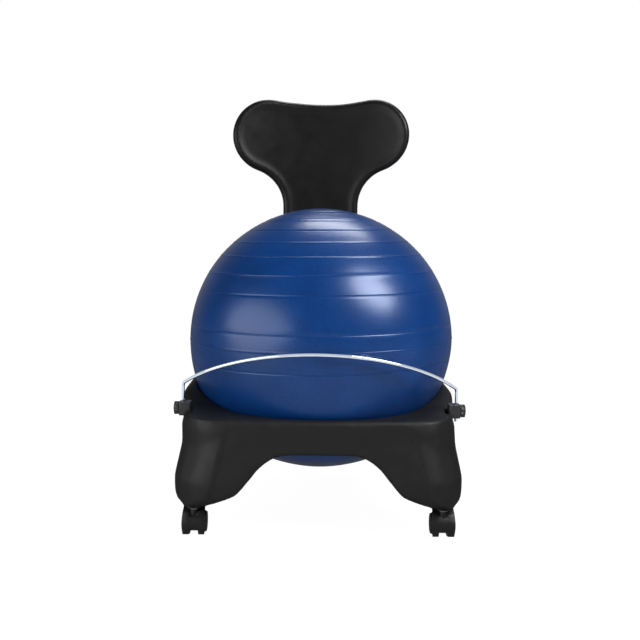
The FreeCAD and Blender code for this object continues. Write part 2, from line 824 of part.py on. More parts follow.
def pad_form():
    """The two-lobed pad, curved round the sitter's back, with its edges rolled over."""
    body = extrusion(
        "PadForm", "XZ_Plane",
        mirrored([
            (size("neck_half"), size("pad_bottom_height")),
            (size("neck_half"), on_pad("neck_top_share"), SMOOTH),
            (size("flare_half"), on_pad("flare_share"), SMOOTH),
            (size("lobe_half"), on_pad("lobe_share"), SMOOTH),
            (size("lobe_shoulder_half"), on_pad("lobe_shoulder_share"), SMOOTH),
            (size("lobe_top_half"), on_pad("lobe_top_share"), SMOOTH),
        ]),
        f"{size('pad_front_y')} * 2", offset=f"-({size('pad_front_y')} * 1.5)",
    )
    reach = f"({size('lobe_half')} * 1.2)"
    radius = size("pad_curve_radius")
    front = size("pad_front_y")
    rise = f"{radius} - sqrt({radius} ^ 2 - {reach} ^ 2)"
    pocket(body, "PadFrontFace", "XY_Plane", [
        (f"-{reach}", f"-{front} * 2"),
        (reach, f"-{front} * 2"),
        (reach, f"{front} - ({rise})", rise),
        (f"-{reach}", f"{front} - ({rise})"),
    ])
    back_radius = f"({radius} + {size('pad_thickness')})"
    back = f"({front} + {size('pad_thickness')})"
    back_rise = f"{back_radius} - sqrt({back_radius} ^ 2 - {reach} ^ 2)"
    pocket(body, "PadBackFace", "XY_Plane", [
        (f"-{reach}", f"{back} - ({back_rise})", f"-({back_rise})"),
        (reach, f"{back} - ({back_rise})"),
        (reach, f"{back} * 2"),
        (f"-{reach}", f"{back} * 2"),
    ])
    centre_y = number(f"{front} - {radius}")
    faces = [number(radius), number(back_radius)]

    def lies_on_a_face(edge):
        points = edge.discretize(5)
        return any(
            all(abs(math.hypot(point.x, point.y - centre_y) - face) < 0.01 for point in points)
            for face in faces)

    round_edges(body, size("pad_edge_round"), lies_on_a_face)
    return body


def backrest():
    """The pad with its stiffening board, on a steel upright bolted to the back of the base."""
    across = half("upright_width")
    board_back = f"({UPRIGHT_FRONT} - {size('pad_backing')})"
    board = (
        (f"-{size('board_half_width')}", f"{board_back} - {size('board_thickness')}",
         on_pad("board_bottom_share")),
        (size("board_half_width"), board_back, on_pad("board_top_share")),
    )
    groove = box(
        "UprightGroove",
        (f"-({across} + {size('hole_gap')})", UPRIGHT_FRONT, f"{size('pad_bottom_height')} - {size('wall')}"),
        (f"{across} + {size('hole_gap')}", f"{UPRIGHT_BACK} * 2", f"{UPRIGHT_TOP} + {size('hole_gap')}"),
    )
    screw_length = f"({UPRIGHT_BACK} - ({board_back} - {size('board_thickness')}))"
    screw_radius = half("pad_screw_diameter")
    screw_start = f"{board_back} - {size('board_thickness')}"
    clear = f"{screw_radius} + {size('hole_gap')}"

    def screw_holes(tag, radius):
        return [
            cylinder(f"{tag}ScrewHole{index}", radius, screw_length, x, screw_start, z, along="Y")
            for index, (x, z) in enumerate(pad_screw_places())
        ]

    piece("backrest_pad", cut("BackrestPad", pad_form(), [groove, box("BoardRoom", *board)]
                              + screw_holes("Pad", clear)))
    piece("backrest_board", cut("BackrestBoard", box("Board", *board), screw_holes("Board", screw_radius)))
    piece("pad_screws", group("PadScrews", [
        fuse(f"PadScrew{index}", [
            cylinder(f"PadScrewShank{index}", screw_radius, screw_length, x, screw_start, z, along="Y"),
            cylinder(f"PadScrewHead{index}", half("pad_screw_head_diameter"), size("pad_screw_head_height"),
                     x, UPRIGHT_BACK, z, along="Y"),
        ])
        for index, (x, z) in enumerate(pad_screw_places())
    ]))

    upright = extrusion(
        "UprightForm", "XZ_Plane",
        rounded_rectangle(f"-{across}", size("upright_bottom_height"), across,
                          UPRIGHT_TOP, size("upright_corner_radius")),
        size("upright_thickness"), offset=f"-({UPRIGHT_BACK})",
    )
    bolt_holes = [
        cylinder(f"UprightBoltHole{index}", f"{half('bolt_diameter')} + {size('hole_gap')}",
                 size("upright_thickness"), x, UPRIGHT_FRONT, z, along="Y")
        for index, (x, z) in enumerate(bolt_places())
    ]
    piece("backrest_upright", cut("BackrestUpright", upright, screw_holes("Upright", clear) + bolt_holes))

    washer_back = f"({UPRIGHT_BACK} + {size('washer_thickness')})"
    bolts = []
    washers = []
    inserts = []
    for index, (x, z) in enumerate(bolt_places()):
        bolts.append(fuse(f"Bolt{index}", [
            cylinder(f"BoltShank{index}", half("bolt_diameter"), size("bolt_length"),
                     x, f"{washer_back} - {size('bolt_length')}", z, along="Y"),
            prism(f"BoltHead{index}", 6, size("bolt_head_across"), size("bolt_head_height"),
                  x, washer_back, z),
        ]))
        washers.append(cut(f"Washer{index}", cylinder(
            f"WasherDisc{index}", half("washer_diameter"), size("washer_thickness"),
            x, UPRIGHT_BACK, z, along="Y",
        ), [cylinder(
            f"WasherHole{index}", f"{half('bolt_diameter')} + {size('hole_gap')}", size("washer_thickness"),
            x, UPRIGHT_BACK, z, along="Y",
        )]))
        inserts.append(cut(f"Insert{index}", cylinder(
            f"InsertBarrel{index}", half("insert_diameter"), size("insert_length"),
            x, f"{UPRIGHT_FRONT} - {size('insert_length')}", z, along="Y",
        ), [cylinder(
            f"InsertBore{index}", f"{half('bolt_diameter')} + {size('running_gap')}", size("insert_length"),
            x, f"{UPRIGHT_FRONT} - {size('insert_length')}", z, along="Y",
        )]))
    piece("upright_bolts", group("UprightBolts", bolts))
    piece("upright_washers", group("UprightWashers", washers))
    piece("upright_inserts", group("UprightInserts", inserts))


# Casters

def wheel_outline():
    """Half a wheel's section, from its inner face out along the axle."""
    radius = WHEEL_RADIUS
    width = size("wheel_width")
    bore = f"{half('axle_diameter')} + {size('running_gap')}"
    bore_end = f"{size('axle_reach')} + {size('face_gap')}"
    bevel = size("wheel_inner_chamfer")
    dish = f"{width} - {size('wheel_dish_depth')}"
    return [
        ("0", bore),
        (bore_end, bore),
        (bore_end, "0"),
        (width, "0"),
        (width, size("wheel_dish_inner")),
        (dish, f"{size('wheel_dish_inner')} + {size('wheel_dish_depth')}"),
        (dish, f"{size('wheel_dish_outer')} - {size('wheel_dish_depth')}"),
        (width, size("wheel_dish_outer")),
        (width, f"{radius} - {size('wheel_edge_round')}", f"-{size('wheel_edge_round')} * {ROUND}"),
        (f"{width} - {size('wheel_edge_round')}", radius),
        (bevel, radius),
        ("0", f"{radius} - {bevel}"),
    ]


def caster_hood(tag):
    """A hood over both wheels with a web between them and a boss for the stem."""
    trail = size("caster_trail")
    outer = f"({WHEEL_RADIUS} + {size('hood_gap')} + {size('hood_thickness')})"
    half_width = half("hood_width")
    blank = common(tag + "HoodBlank", [
        cylinder(tag + "HoodDrum", outer, size("hood_width"),
                 f"-{half_width}", trail, WHEEL_RADIUS, along="X"),
        box(tag + "HoodKeep",
            (f"-{half_width}", f"{trail} - {outer} * 2", size("hood_low_height")),
            (half_width, f"{trail} + {size('hood_back_reach')}", f"{outer} * 3")),
    ])
    solid = fuse(tag + "HoodSolid", [
        blank,
        cylinder(tag + "HoodBoss", half("hood_boss_diameter"), f"{HOOD_TOP} - {WHEEL_RADIUS}",
                 z=WHEEL_RADIUS),
    ])
    well = f"{WHEEL_RADIUS} + {size('hood_gap')}"
    well_depth = f"{half('hood_width')} - {half('web_thickness')}"
    return cut(tag + "Hood", solid, [
        cylinder(tag + "RightWell", well, well_depth, half("web_thickness"), trail, WHEEL_RADIUS, along="X"),
        cylinder(tag + "LeftWell", well, well_depth, f"-{half_width}", trail, WHEEL_RADIUS, along="X"),
        cylinder(tag + "StemHole", half("stem_diameter"), size("rim_height"), z=size("stem_bottom_height")),
        cylinder(tag + "AxleHole", half("axle_diameter"), size("web_thickness"),
                 f"-{half('web_thickness')}", trail, WHEEL_RADIUS, along="X"),
    ])


def caster(tag, label, way_x, way_y):
    """One twin-wheel caster and the socket that its stem turns in."""
    x = f"{way_x} * {size('caster_offset')}"
    y = f"{way_y} * {size('caster_offset')}"
    stem_radius = half("stem_diameter")
    flange = cylinder(tag + "Flange", half("socket_flange_diameter"), size("socket_flange_thickness"),
                      z=size("leg_bottom_height"))
    barrel = cylinder(tag + "Barrel", half("socket_diameter"), size("socket_length"), z=SEAT_HEIGHT)
    bore = cylinder(tag + "Bore", f"{stem_radius} + {size('running_gap')}", size("rim_height"))
    socket = cut(tag + "Socket", fuse(tag + "SocketSolid", [flange, barrel]), [bore])
    piece(f"{label}_caster_socket", place(socket, x, y))
    stem = fuse(tag + "Stem", [
        cylinder(tag + "StemRod", stem_radius, f"{size('stem_top_height')} - {size('stem_bottom_height')}",
                 z=size("stem_bottom_height")),
        cylinder(tag + "Collar", half("collar_diameter"), size("collar_thickness"), z=HOOD_TOP),
    ])
    piece(f"{label}_caster_stem", place(stem, x, y))
    piece(f"{label}_caster_hood", place(caster_hood(tag), x, y))
    axle_half = f"({half('wheel_gap')} + {size('axle_reach')})"
    piece(f"{label}_caster_axle", cylinder(
        tag + "Axle", half("axle_diameter"), f"{axle_half} * 2",
        f"{x} - {axle_half}", f"{y} + {size('caster_trail')}", WHEEL_RADIUS, along="X"))
    for side, toward in SIDES:
        wheel = turned(f"{tag}{side}Wheel", wheel_outline(), axis="X_Axis", plane="XY_Plane")
        wheel.Placement = FreeCAD.Placement(
            FreeCAD.Vector(), FreeCAD.Rotation(FreeCAD.Vector(0, 0, 1), 0 if toward > 0 else 180))
        place(wheel, f"{x} + {toward} * {half('wheel_gap')}", f"{y} + {size('caster_trail')}", WHEEL_RADIUS)
        piece(f"{label}_{side.lower()}_wheel", wheel)


# The whole chair

def check_objects():
    """Stop if any object failed or any sub-part is not a sound solid."""
    failed = [thing.Name for thing in doc.Objects if {"Invalid", "Error"} & set(thing.State)]
    for thing in pieces:
        shape = thing.Shape
        if shape.isNull() or not shape.isValid() or not shape.Solids:
            failed.append(thing.Label)
    if failed:
        raise RuntimeError("these failed: " + ", ".join(failed))


def main():
    base_moulding()
    ball()
    retaining_bar()
    clamps()
    backrest()
    for corner in CORNERS:
        caster(*corner)
    doc.recompute()
    check_objects()
    os.makedirs("parts", exist_ok=True)
    for thing in pieces:
        thing.Shape.exportStep(f"parts/{thing.Label}.step")
        print(f"{thing.Label}: {len(thing.Shape.Solids)} solid(s), {thing.Shape.Volume / 1000:.2f} cm3")


main()
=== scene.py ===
import math
from functools import cache

import bmesh
import bpy
from mathutils import Euler, Matrix, Vector, kdtree


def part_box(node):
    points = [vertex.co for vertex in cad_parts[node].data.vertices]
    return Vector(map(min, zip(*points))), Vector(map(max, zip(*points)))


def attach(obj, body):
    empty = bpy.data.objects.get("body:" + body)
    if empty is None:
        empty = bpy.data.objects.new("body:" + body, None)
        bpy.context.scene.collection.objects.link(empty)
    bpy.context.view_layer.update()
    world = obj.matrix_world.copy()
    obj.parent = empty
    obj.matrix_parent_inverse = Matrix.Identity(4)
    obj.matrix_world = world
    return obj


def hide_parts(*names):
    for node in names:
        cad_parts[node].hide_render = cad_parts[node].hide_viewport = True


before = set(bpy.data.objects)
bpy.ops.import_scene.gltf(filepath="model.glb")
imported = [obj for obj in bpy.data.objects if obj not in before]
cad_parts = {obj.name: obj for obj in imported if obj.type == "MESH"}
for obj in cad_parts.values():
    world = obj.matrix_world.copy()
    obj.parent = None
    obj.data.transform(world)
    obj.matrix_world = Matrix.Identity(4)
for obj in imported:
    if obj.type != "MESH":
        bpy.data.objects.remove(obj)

bl_info = {
    "name": "Balance ball chair",
    "version": (1, 0, 0),
    "blender": (4, 5, 0),
    "location": "View3D > Sidebar > Ball Chair",
    "description": "Dresses the packed parts of a balance ball chair for a studio picture",
    "category": "Object",
}

MM = 0.001
CORNERS = ("front_left", "front_right", "rear_left", "rear_right")
SIDES = ("left", "right")

BALL_LOW, BALL_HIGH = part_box("ball")
BALL_RADIUS = (BALL_HIGH.z - BALL_LOW.z) / 2
BALL_CENTRE = Vector((0, 0, (BALL_LOW.z + BALL_HIGH.z) / 2))
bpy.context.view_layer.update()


# Colours

def linear(code):
    """An sRGB hex colour as linear red, green and blue."""
    levels = [int(code[start:start + 2], 16) / 255 for start in (1, 3, 5)]
    return tuple(
        level / 12.92 if level <= 0.04045 else ((level + 0.055) / 1.055) ** 2.4
        for level in levels)


def opaque(colour):
    """A colour with full alpha, as a socket takes it."""
    return (*colour, 1.0)


# Settings

class BallSettings(bpy.types.PropertyGroup):
    """The ball's rings, the way it sits, and its colours"""
    ring_height: bpy.props.FloatProperty(
        name="Ring height", description="How far a moulded ring stands off the ball's skin",
        default=0.62 * MM, min=0, max=3 * MM, unit="LENGTH")
    ring_width: bpy.props.FloatProperty(
        name="Ring width", description="The width of a moulded ring across its foot",
        default=3.2 * MM, min=2 * MM, max=12 * MM, unit="LENGTH")
    tilt: bpy.props.FloatProperty(
        name="Tilt", description="How far the ball's rings lean to one side, as the ball was set down",
        default=math.radians(1.0), min=-0.2, max=0.2, subtype="ANGLE")
    shift: bpy.props.FloatProperty(
        name="Shift", description="How far the ball's free part stands to the right of its cup",
        default=2.2 * MM, min=-8 * MM, max=8 * MM, unit="LENGTH")
    blue: bpy.props.FloatVectorProperty(
        name="Vinyl", description="The blue of the ball's vinyl", subtype="COLOR",
        default=linear("#012D66"))
    pearl: bpy.props.FloatVectorProperty(
        name="Pearl", description="The paler blue of the pearl in the vinyl", subtype="COLOR",
        default=linear("#033C7E"))


class BaseSettings(bpy.types.PropertyGroup):
    """The base's mesh, rounding and corner pads, and its colour"""
    voxel: bpy.props.FloatProperty(
        name="Mesh size", description="The size of the mesh that the base is rounded on",
        default=3.8 * MM, min=2 * MM, max=8 * MM, unit="LENGTH")
    roundness: bpy.props.IntProperty(
        name="Roundness", description="How many times the base's edges are smoothed",
        default=14, min=1, max=60)
    crease: bpy.props.FloatProperty(
        name="Pad step", description="How far the corner pads stand proud of the panels between them",
        default=3.2 * MM, min=0, max=6 * MM, unit="LENGTH")
    black: bpy.props.FloatVectorProperty(
        name="Plastic", description="The black of the blow-moulded base", subtype="COLOR",
        default=linear("#131314"))


class BackrestSettings(bpy.types.PropertyGroup):
    """The pad's mesh and rim, and its colour"""
    voxel: bpy.props.FloatProperty(
        name="Mesh size", description="The size of the mesh that the pad is rounded on",
        default=2.6 * MM, min=2 * MM, max=8 * MM, unit="LENGTH")
    rim: bpy.props.FloatProperty(
        name="Rim width", description="The width of the rolled rim round the pad's face",
        default=17 * MM, min=5 * MM, max=40 * MM, unit="LENGTH")
    dish: bpy.props.FloatProperty(
        name="Dish depth", description="How far the pad's face lies behind its rim",
        default=1.7 * MM, min=0, max=8 * MM, unit="LENGTH")
    black: bpy.props.FloatVectorProperty(
        name="Skin", description="The black of the pad's moulded skin", subtype="COLOR",
        default=linear("#101010"))


class BarSettings(bpy.types.PropertyGroup):
    """The retaining bar's colour"""
    chrome: bpy.props.FloatVectorProperty(
        name="Chrome", description="The tint of the bar's plating", subtype="COLOR",
        default=linear("#DCE6F4"))


class CasterSettings(bpy.types.PropertyGroup):
    """The casters' colour"""
    black: bpy.props.FloatVectorProperty(
        name="Nylon", description="The black of the casters' nylon", subtype="COLOR",
        default=linear("#101011"))


class StudioSettings(bpy.types.PropertyGroup):
    """The light of the studio"""
    right: bpy.props.FloatProperty(
        name="Right softbox", description="The power of the softbox in front on the right",
        default=35, min=0, max=500, unit="POWER")
    overhead: bpy.props.FloatProperty(
        name="Overhead softbox", description="The power of the softbox overhead",
        default=9, min=0, max=500, unit="POWER")
    left: bpy.props.FloatProperty(
        name="Left softbox", description="The power of the softbox on the left",
        default=18, min=0, max=500, unit="POWER")
    room: bpy.props.FloatProperty(
        name="Room", description="How bright the white room is", default=0.3, min=0, max=2)


class ChairSettings(bpy.types.PropertyGroup):
    """The settings of the chair's pieces and of the studio"""
    ball: bpy.props.PointerProperty(type=BallSettings)
    base: bpy.props.PointerProperty(type=BaseSettings)
    backrest: bpy.props.PointerProperty(type=BackrestSettings)
    bar: bpy.props.PointerProperty(type=BarSettings)
    caster: bpy.props.PointerProperty(type=CasterSettings)
    studio: bpy.props.PointerProperty(type=StudioSettings)


def settings():
    """The chair's settings in this scene."""
    return bpy.context.scene.ball_chair


# Materials

def add(tree, kind, inputs=None, **options):
    """Add a node with its options and inputs.

    An input given as (node, output name) is joined to that output, and any other value is set.
    """
    node = tree.nodes.new(kind)
    for name, value in options.items():
        setattr(node, name, value)
    for name, value in (inputs or {}).items():
        if isinstance(value, tuple) and isinstance(value[0], bpy.types.Node):
            source, output = value
            tree.links.new(source.outputs[output], node.inputs[name])
        else:
            node.inputs[name].default_value = value
    return node


def begin(name):
    """A new material, its node tree, and the object's own coordinates."""
    material = bpy.data.materials.new(name)
    material.use_nodes = True
    tree = material.node_tree
    tree.nodes.clear()
    where = add(tree, "ShaderNodeTexCoord")
    return material, tree, (where, "Object")


def moulded(name, colour, mottle, grain, depth, roughness, ior, worn=None, extra=None):
    """A moulded plastic with a cast grain, a slight mottle and, where asked, paler worn edges.

    The grain and its depth are in metres, and extra holds more of the shader's own inputs.
    """
    material, tree, place = begin(name)
    cloud = add(tree, "ShaderNodeTexNoise", {
        "Vector": place, "Scale": 1 / (22 * MM), "Detail": 3.0, "Roughness": 0.6})
    speck = add(tree, "ShaderNodeTexNoise", {
        "Vector": place, "Scale": 1 / grain, "Detail": 2.0, "Roughness": 0.55})
    pale = tuple(min(1.0, level * mottle + 0.002) for level in colour)
    tint = add(tree, "ShaderNodeMix", {
        "Factor": (cloud, "Fac"), "A": opaque(colour), "B": opaque(pale)}, data_type="RGBA")
    if worn:
        shape = add(tree, "ShaderNodeNewGeometry")
        scuff = add(tree, "ShaderNodeMapRange", {
            "Value": (shape, "Pointiness"), "From Min": 0.53, "From Max": 0.62, "To Max": 0.55})
        patchy = add(tree, "ShaderNodeMath", {
            0: (scuff, "Result"), 1: (cloud, "Fac")}, operation="MULTIPLY")
        tint = add(tree, "ShaderNodeMix", {
            "Factor": (patchy, "Value"), "A": (tint, "Result"), "B": opaque(worn)}, data_type="RGBA")
    gloss = add(tree, "ShaderNodeMapRange", {
        "Value": (cloud, "Fac"), "From Min": 0.3, "From Max": 0.7,
        "To Min": roughness - 0.05, "To Max": roughness + 0.06})
    bump = add(tree, "ShaderNodeBump", {"Height": (speck, "Fac"), "Strength": 0.5, "Distance": depth})
    shader = add(tree, "ShaderNodeBsdfPrincipled", {
        "Base Color": (tint, "Result"), "Roughness": (gloss, "Result"), "Normal": (bump, "Normal"),
        "IOR": ior, **(extra or {})})
    add(tree, "ShaderNodeOutputMaterial", {"Surface": (shader, "BSDF")})
    return material


@cache
def blow_moulded_hdpe():
    # High-density polyethylene, blow-moulded in an etched mould: a waxy, even black with a fine
    # grain of about 0.9 mm that breaks highlights up, and edges rubbed a little paler
    return moulded(
        "blow_moulded_hdpe", settings().base.black, mottle=1.25, grain=0.9 * MM, depth=0.05 * MM,
        roughness=0.54, ior=1.53, worn=linear("#3C3C3D"), extra={"Specular IOR Level": 0.38})


@cache
def moulded_nylon():
    # Glass-filled nylon of the casters' hoods: a denser black, a little glossier than the base
    return moulded(
        "moulded_nylon", settings().caster.black, mottle=1.3, grain=0.6 * MM, depth=0.03 * MM,
        roughness=0.5, ior=1.53, worn=linear("#323233"))


@cache
def wheel_nylon():
    # The wheels' nylon, scuffed paler at its edges by rolling
    return moulded(
        "wheel_nylon", linear("#131314"), mottle=1.5, grain=0.7 * MM, depth=0.04 * MM,
        roughness=0.44, ior=1.53, worn=linear("#38383A"))


@cache
def clamp_abs():
    # ABS of the clamps and knobs: satin, with a spark-eroded grain
    return moulded(
        "clamp_abs", linear("#2B2B2D"), mottle=1.3, grain=0.7 * MM, depth=0.04 * MM,
        roughness=0.38, ior=1.54, worn=linear("#474748"))


@cache
def socket_nylon():
    # Unfilled nylon of the sockets in the legs: an even black, a little glossy
    return moulded(
        "socket_nylon", linear("#1A1A1B"), mottle=1.3, grain=0.6 * MM, depth=0.03 * MM,
        roughness=0.42, ior=1.53)


@cache
def plug_ldpe():
    # Soft low-density polyethylene of the air plug: milky white and slightly greasy
    return moulded(
        "plug_ldpe", linear("#D9D8D2"), mottle=1.04, grain=0.8 * MM, depth=0.03 * MM,
        roughness=0.4, ior=1.51, extra={"Subsurface Weight": 0.15})


@cache
def powder_coat():
    # Satin black polyester powder on the steel upright, with the orange peel of the baked coat
    return moulded(
        "powder_coat", linear("#141415"), mottle=1.3, grain=1.8 * MM, depth=0.06 * MM,
        roughness=0.33, ior=1.52)


@cache
def pearl_vinyl():
    # Plasticised PVC with pearl pigment, slush-moulded and inflated: a deep blue with a satin sheen,
    # specks of pearl, and fine lines round the ball where the skin has drawn in the mould
    colours = settings().ball
    material, tree, place = begin("pearl_vinyl")
    # The specks are really 0.1 mm across and are drawn at 3 mm to show
    fleck = add(tree, "ShaderNodeTexNoise", {
        "Vector": place, "Scale": 1 / (3 * MM), "Detail": 3.0, "Roughness": 0.7})
    cloud = add(tree, "ShaderNodeTexNoise", {
        "Vector": place, "Scale": 1 / (70 * MM), "Detail": 3.0, "Roughness": 0.55})
    # Lines round the ball: a pattern that is long across and 3 mm high
    stretch = add(tree, "ShaderNodeMapping", {"Vector": place, "Scale": (1.2, 1.2, 1 / (3 * MM))})
    lines = add(tree, "ShaderNodeTexNoise", {
        "Vector": (stretch, "Vector"), "Scale": 1.0, "Detail": 4.0, "Roughness": 0.7})
    mixed = add(tree, "ShaderNodeMath", {0: (fleck, "Fac"), 1: (cloud, "Fac")}, operation="MULTIPLY")
    amount = add(tree, "ShaderNodeMapRange", {
        "Value": (mixed, "Value"), "From Min": 0.06, "From Max": 0.42})
    tint = add(tree, "ShaderNodeMix", {
        "Factor": (amount, "Result"), "A": opaque(colours.blue), "B": opaque(colours.pearl)},
        data_type="RGBA")
    gloss = add(tree, "ShaderNodeMapRange", {
        "Value": (fleck, "Fac"), "From Min": 0.3, "From Max": 0.7, "To Min": 0.24, "To Max": 0.44})
    drawn = add(tree, "ShaderNodeBump", {
        "Height": (lines, "Fac"), "Strength": 0.35, "Distance": 0.25 * MM})
    speckled = add(tree, "ShaderNodeBump", {
        "Height": (fleck, "Fac"), "Strength": 0.5, "Distance": 0.12 * MM, "Normal": (drawn, "Normal")})
    shader = add(tree, "ShaderNodeBsdfPrincipled", {
        "Base Color": (tint, "Result"), "Roughness": (gloss, "Result"), "Normal": (speckled, "Normal"),
        "IOR": 1.53, "Specular Tint": opaque(linear("#86ABE6")),
        "Coat Weight": 0.8, "Coat Roughness": 0.28, "Coat Normal": (speckled, "Normal"),
        "Sheen Weight": 0.04, "Sheen Roughness": 0.35, "Sheen Tint": opaque(linear("#9DB4DC"))})
    add(tree, "ShaderNodeOutputMaterial", {"Surface": (shader, "BSDF")})
    return material


@cache
def skinned_foam():
    # Integral-skin polyurethane foam: a satin black skin with a fine leather grain from the mould
    material, tree, place = begin("skinned_foam")
    cells = add(tree, "ShaderNodeTexVoronoi", {
        "Vector": place, "Scale": 1 / (1.6 * MM), "Randomness": 1.0}, feature="DISTANCE_TO_EDGE")
    crack = add(tree, "ShaderNodeMapRange", {"Value": (cells, "Distance"), "From Max": 0.12})
    cloud = add(tree, "ShaderNodeTexNoise", {
        "Vector": place, "Scale": 1 / (40 * MM), "Detail": 4.0, "Roughness": 0.6})
    tint = add(tree, "ShaderNodeMix", {
        "Factor": (cloud, "Fac"), "A": opaque(settings().backrest.black),
        "B": opaque(linear("#171717"))}, data_type="RGBA")
    gloss = add(tree, "ShaderNodeMapRange", {
        "Value": (cloud, "Fac"), "From Min": 0.3, "From Max": 0.7, "To Min": 0.32, "To Max": 0.42})
    bump = add(tree, "ShaderNodeBump", {
        "Height": (crack, "Result"), "Strength": 0.3, "Distance": 0.08 * MM})
    shader = add(tree, "ShaderNodeBsdfPrincipled", {
        "Base Color": (tint, "Result"), "Roughness": (gloss, "Result"), "Normal": (bump, "Normal"),
        "IOR": 1.5, "Specular IOR Level": 0.3, "Sheen Weight": 0.06, "Sheen Roughness": 0.3})
    add(tree, "ShaderNodeOutputMaterial", {"Surface": (shader, "BSDF")})
    return material


def metal(name, colour, roughness, spread, grain):
    """A plated or bare metal with faint streaks and a slight change of tone, its grain in metres."""
    material, tree, place = begin(name)
    streak = add(tree, "ShaderNodeTexNoise", {
        "Vector": place, "Scale": 1 / grain, "Detail": 3.0, "Roughness": 0.6})
    dim = tuple(level * 0.86 for level in colour)
    tone = add(tree, "ShaderNodeMix", {
        "Factor": (streak, "Fac"), "A": opaque(colour), "B": opaque(dim)}, data_type="RGBA")
    gloss = add(tree, "ShaderNodeMapRange", {
        "Value": (streak, "Fac"), "From Min": 0.3, "From Max": 0.7,
        "To Min": roughness - spread, "To Max": roughness + spread})
    bump = add(tree, "ShaderNodeBump", {
        "Height": (streak, "Fac"), "Strength": 0.2, "Distance": 0.02 * MM})
    shader = add(tree, "ShaderNodeBsdfPrincipled", {
        "Base Color": (tone, "Result"), "Roughness": (gloss, "Result"), "Normal": (bump, "Normal"),
        "Metallic": 1.0})
    add(tree, "ShaderNodeOutputMaterial", {"Surface": (shader, "BSDF")})
    return material


@cache
def bright_chrome():
    # Decorative chromium over nickel: mirror bright, with a trace of haze
    return metal("bright_chrome", settings().bar.chrome, roughness=0.002, spread=0.001, grain=6.0 * MM)


@cache
def zinc_plate():
    # Electroplated zinc on the screws, bolts and stems: bluish grey and a little cloudy
    return metal("zinc_plate", linear("#B9BCBE"), roughness=0.3, spread=0.08, grain=2.5 * MM)


@cache
def turned_brass():
    # Free-cutting brass of the threaded inserts, turned and left bare: yellow, with a soft shine
    return metal("turned_brass", linear("#D6B46A"), roughness=0.28, spread=0.06, grain=2.0 * MM)


@cache
def birch_plywood():
    # The stiffening board's rotary-cut birch veneer: pale, with darker grain that runs upright
    material, tree, place = begin("birch_plywood")
    stretch = add(tree, "ShaderNodeMapping", {
        "Vector": place, "Scale": (1 / (3 * MM), 1 / (3 * MM), 1 / (60 * MM))})
    grain = add(tree, "ShaderNodeTexNoise", {
        "Vector": (stretch, "Vector"), "Scale": 1.0, "Detail": 5.0})
    tint = add(tree, "ShaderNodeMix", {
        "Factor": (grain, "Fac"), "A": opaque(linear("#D8B98A")), "B": opaque(linear("#B58F5E"))},
        data_type="RGBA")
    bump = add(tree, "ShaderNodeBump", {"Height": (grain, "Fac"), "Strength": 0.3, "Distance": 0.1 * MM})
    shader = add(tree, "ShaderNodeBsdfPrincipled", {
        "Base Color": (tint, "Result"), "Roughness": 0.6, "Normal": (bump, "Normal")})
    add(tree, "ShaderNodeOutputMaterial", {"Surface": (shader, "BSDF")})
    return material


# Modelling

SHARP = math.radians(35)


def start():
    """Leave nothing selected, so that an operator acts on the new piece alone."""
    bpy.ops.object.select_all(action="DESELECT")


def take(piece):
    """Make a piece the only selected and the active one."""
    start()
    piece.select_set(True)
    bpy.context.view_layer.objects.active = piece


def merged_copy(node, name):
    """A new piece that starts as a CAD node's mesh, with its loose triangles joined."""
    piece = bpy.data.objects.new(name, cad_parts[node].data.copy())
    piece.data.materials.clear()
    bpy.context.scene.collection.objects.link(piece)
    take(piece)
    bpy.ops.object.mode_set(mode="EDIT")
    bpy.ops.mesh.select_all(action="SELECT")
    bpy.ops.mesh.remove_doubles(threshold=0.01 * MM)
    bpy.ops.mesh.customdata_custom_splitnormals_clear()
    bpy.ops.object.mode_set(mode="OBJECT")
    return piece


def apply_modifier(piece, kind, **values):
    """Give a piece a modifier with its values, and apply it."""
    take(piece)
    modifier = piece.modifiers.new(kind.title(), kind)
    for name, value in values.items():
        setattr(modifier, name, value)
    bpy.ops.object.modifier_apply(modifier=modifier.name)


def eased(node, name, width):
    """A CAD node's own shape with its sharp edges eased by a bevel of a width."""
    piece = merged_copy(node, name)
    bpy.ops.object.mode_set(mode="EDIT")
    bpy.ops.mesh.select_all(action="SELECT")
    bpy.ops.mesh.dissolve_limited(angle_limit=math.radians(1.0))
    bpy.ops.object.mode_set(mode="OBJECT")
    apply_modifier(piece, "BEVEL", width=width, segments=2, limit_method="ANGLE", angle_limit=SHARP)
    bpy.ops.object.shade_smooth_by_angle(angle=SHARP)
    return piece


def smooth(piece):
    """Shade a piece smooth all over."""
    take(piece)
    bpy.ops.object.shade_smooth()


def finish(piece, node, body, material):
    """Give a piece its material, body and slot, and let it stand for its CAD node."""
    piece.data.materials.clear()
    piece.data.materials.append(material)
    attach(piece, body)
    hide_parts(node)


def dress(node, material):
    """Give a CAD node that stays its material."""
    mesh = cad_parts[node].data
    mesh.materials.clear()
    mesh.materials.append(material)


def outermost(piece):
    """Delete the closed walls inside a hollow piece, and keep its outside."""
    mesh = bmesh.new()
    mesh.from_mesh(piece.data)
    unseen = set(mesh.verts)
    shells = []
    while unseen:
        shell = {unseen.pop()}
        waiting = list(shell)
        while waiting:
            vertex = waiting.pop()
            for edge in vertex.link_edges:
                other = edge.other_vert(vertex)
                if other in unseen:
                    unseen.discard(other)
                    shell.add(other)
                    waiting.append(other)
        shells.append(shell)
    widths = [max(v.co.x for v in shell) - min(v.co.x for v in shell) for shell in shells]
    keep = shells[widths.index(max(widths))]
    bmesh.ops.delete(mesh, geom=[v for v in mesh.verts if v not in keep], context="VERTS")
    mesh.to_mesh(piece.data)
    mesh.free()


def ease(value, low, high):
    """0 below low, 1 above high, and a smooth step between them."""
    share = min(1.0, max(0.0, (value - low) / (high - low)))
    return share * share * (3 - 2 * share)


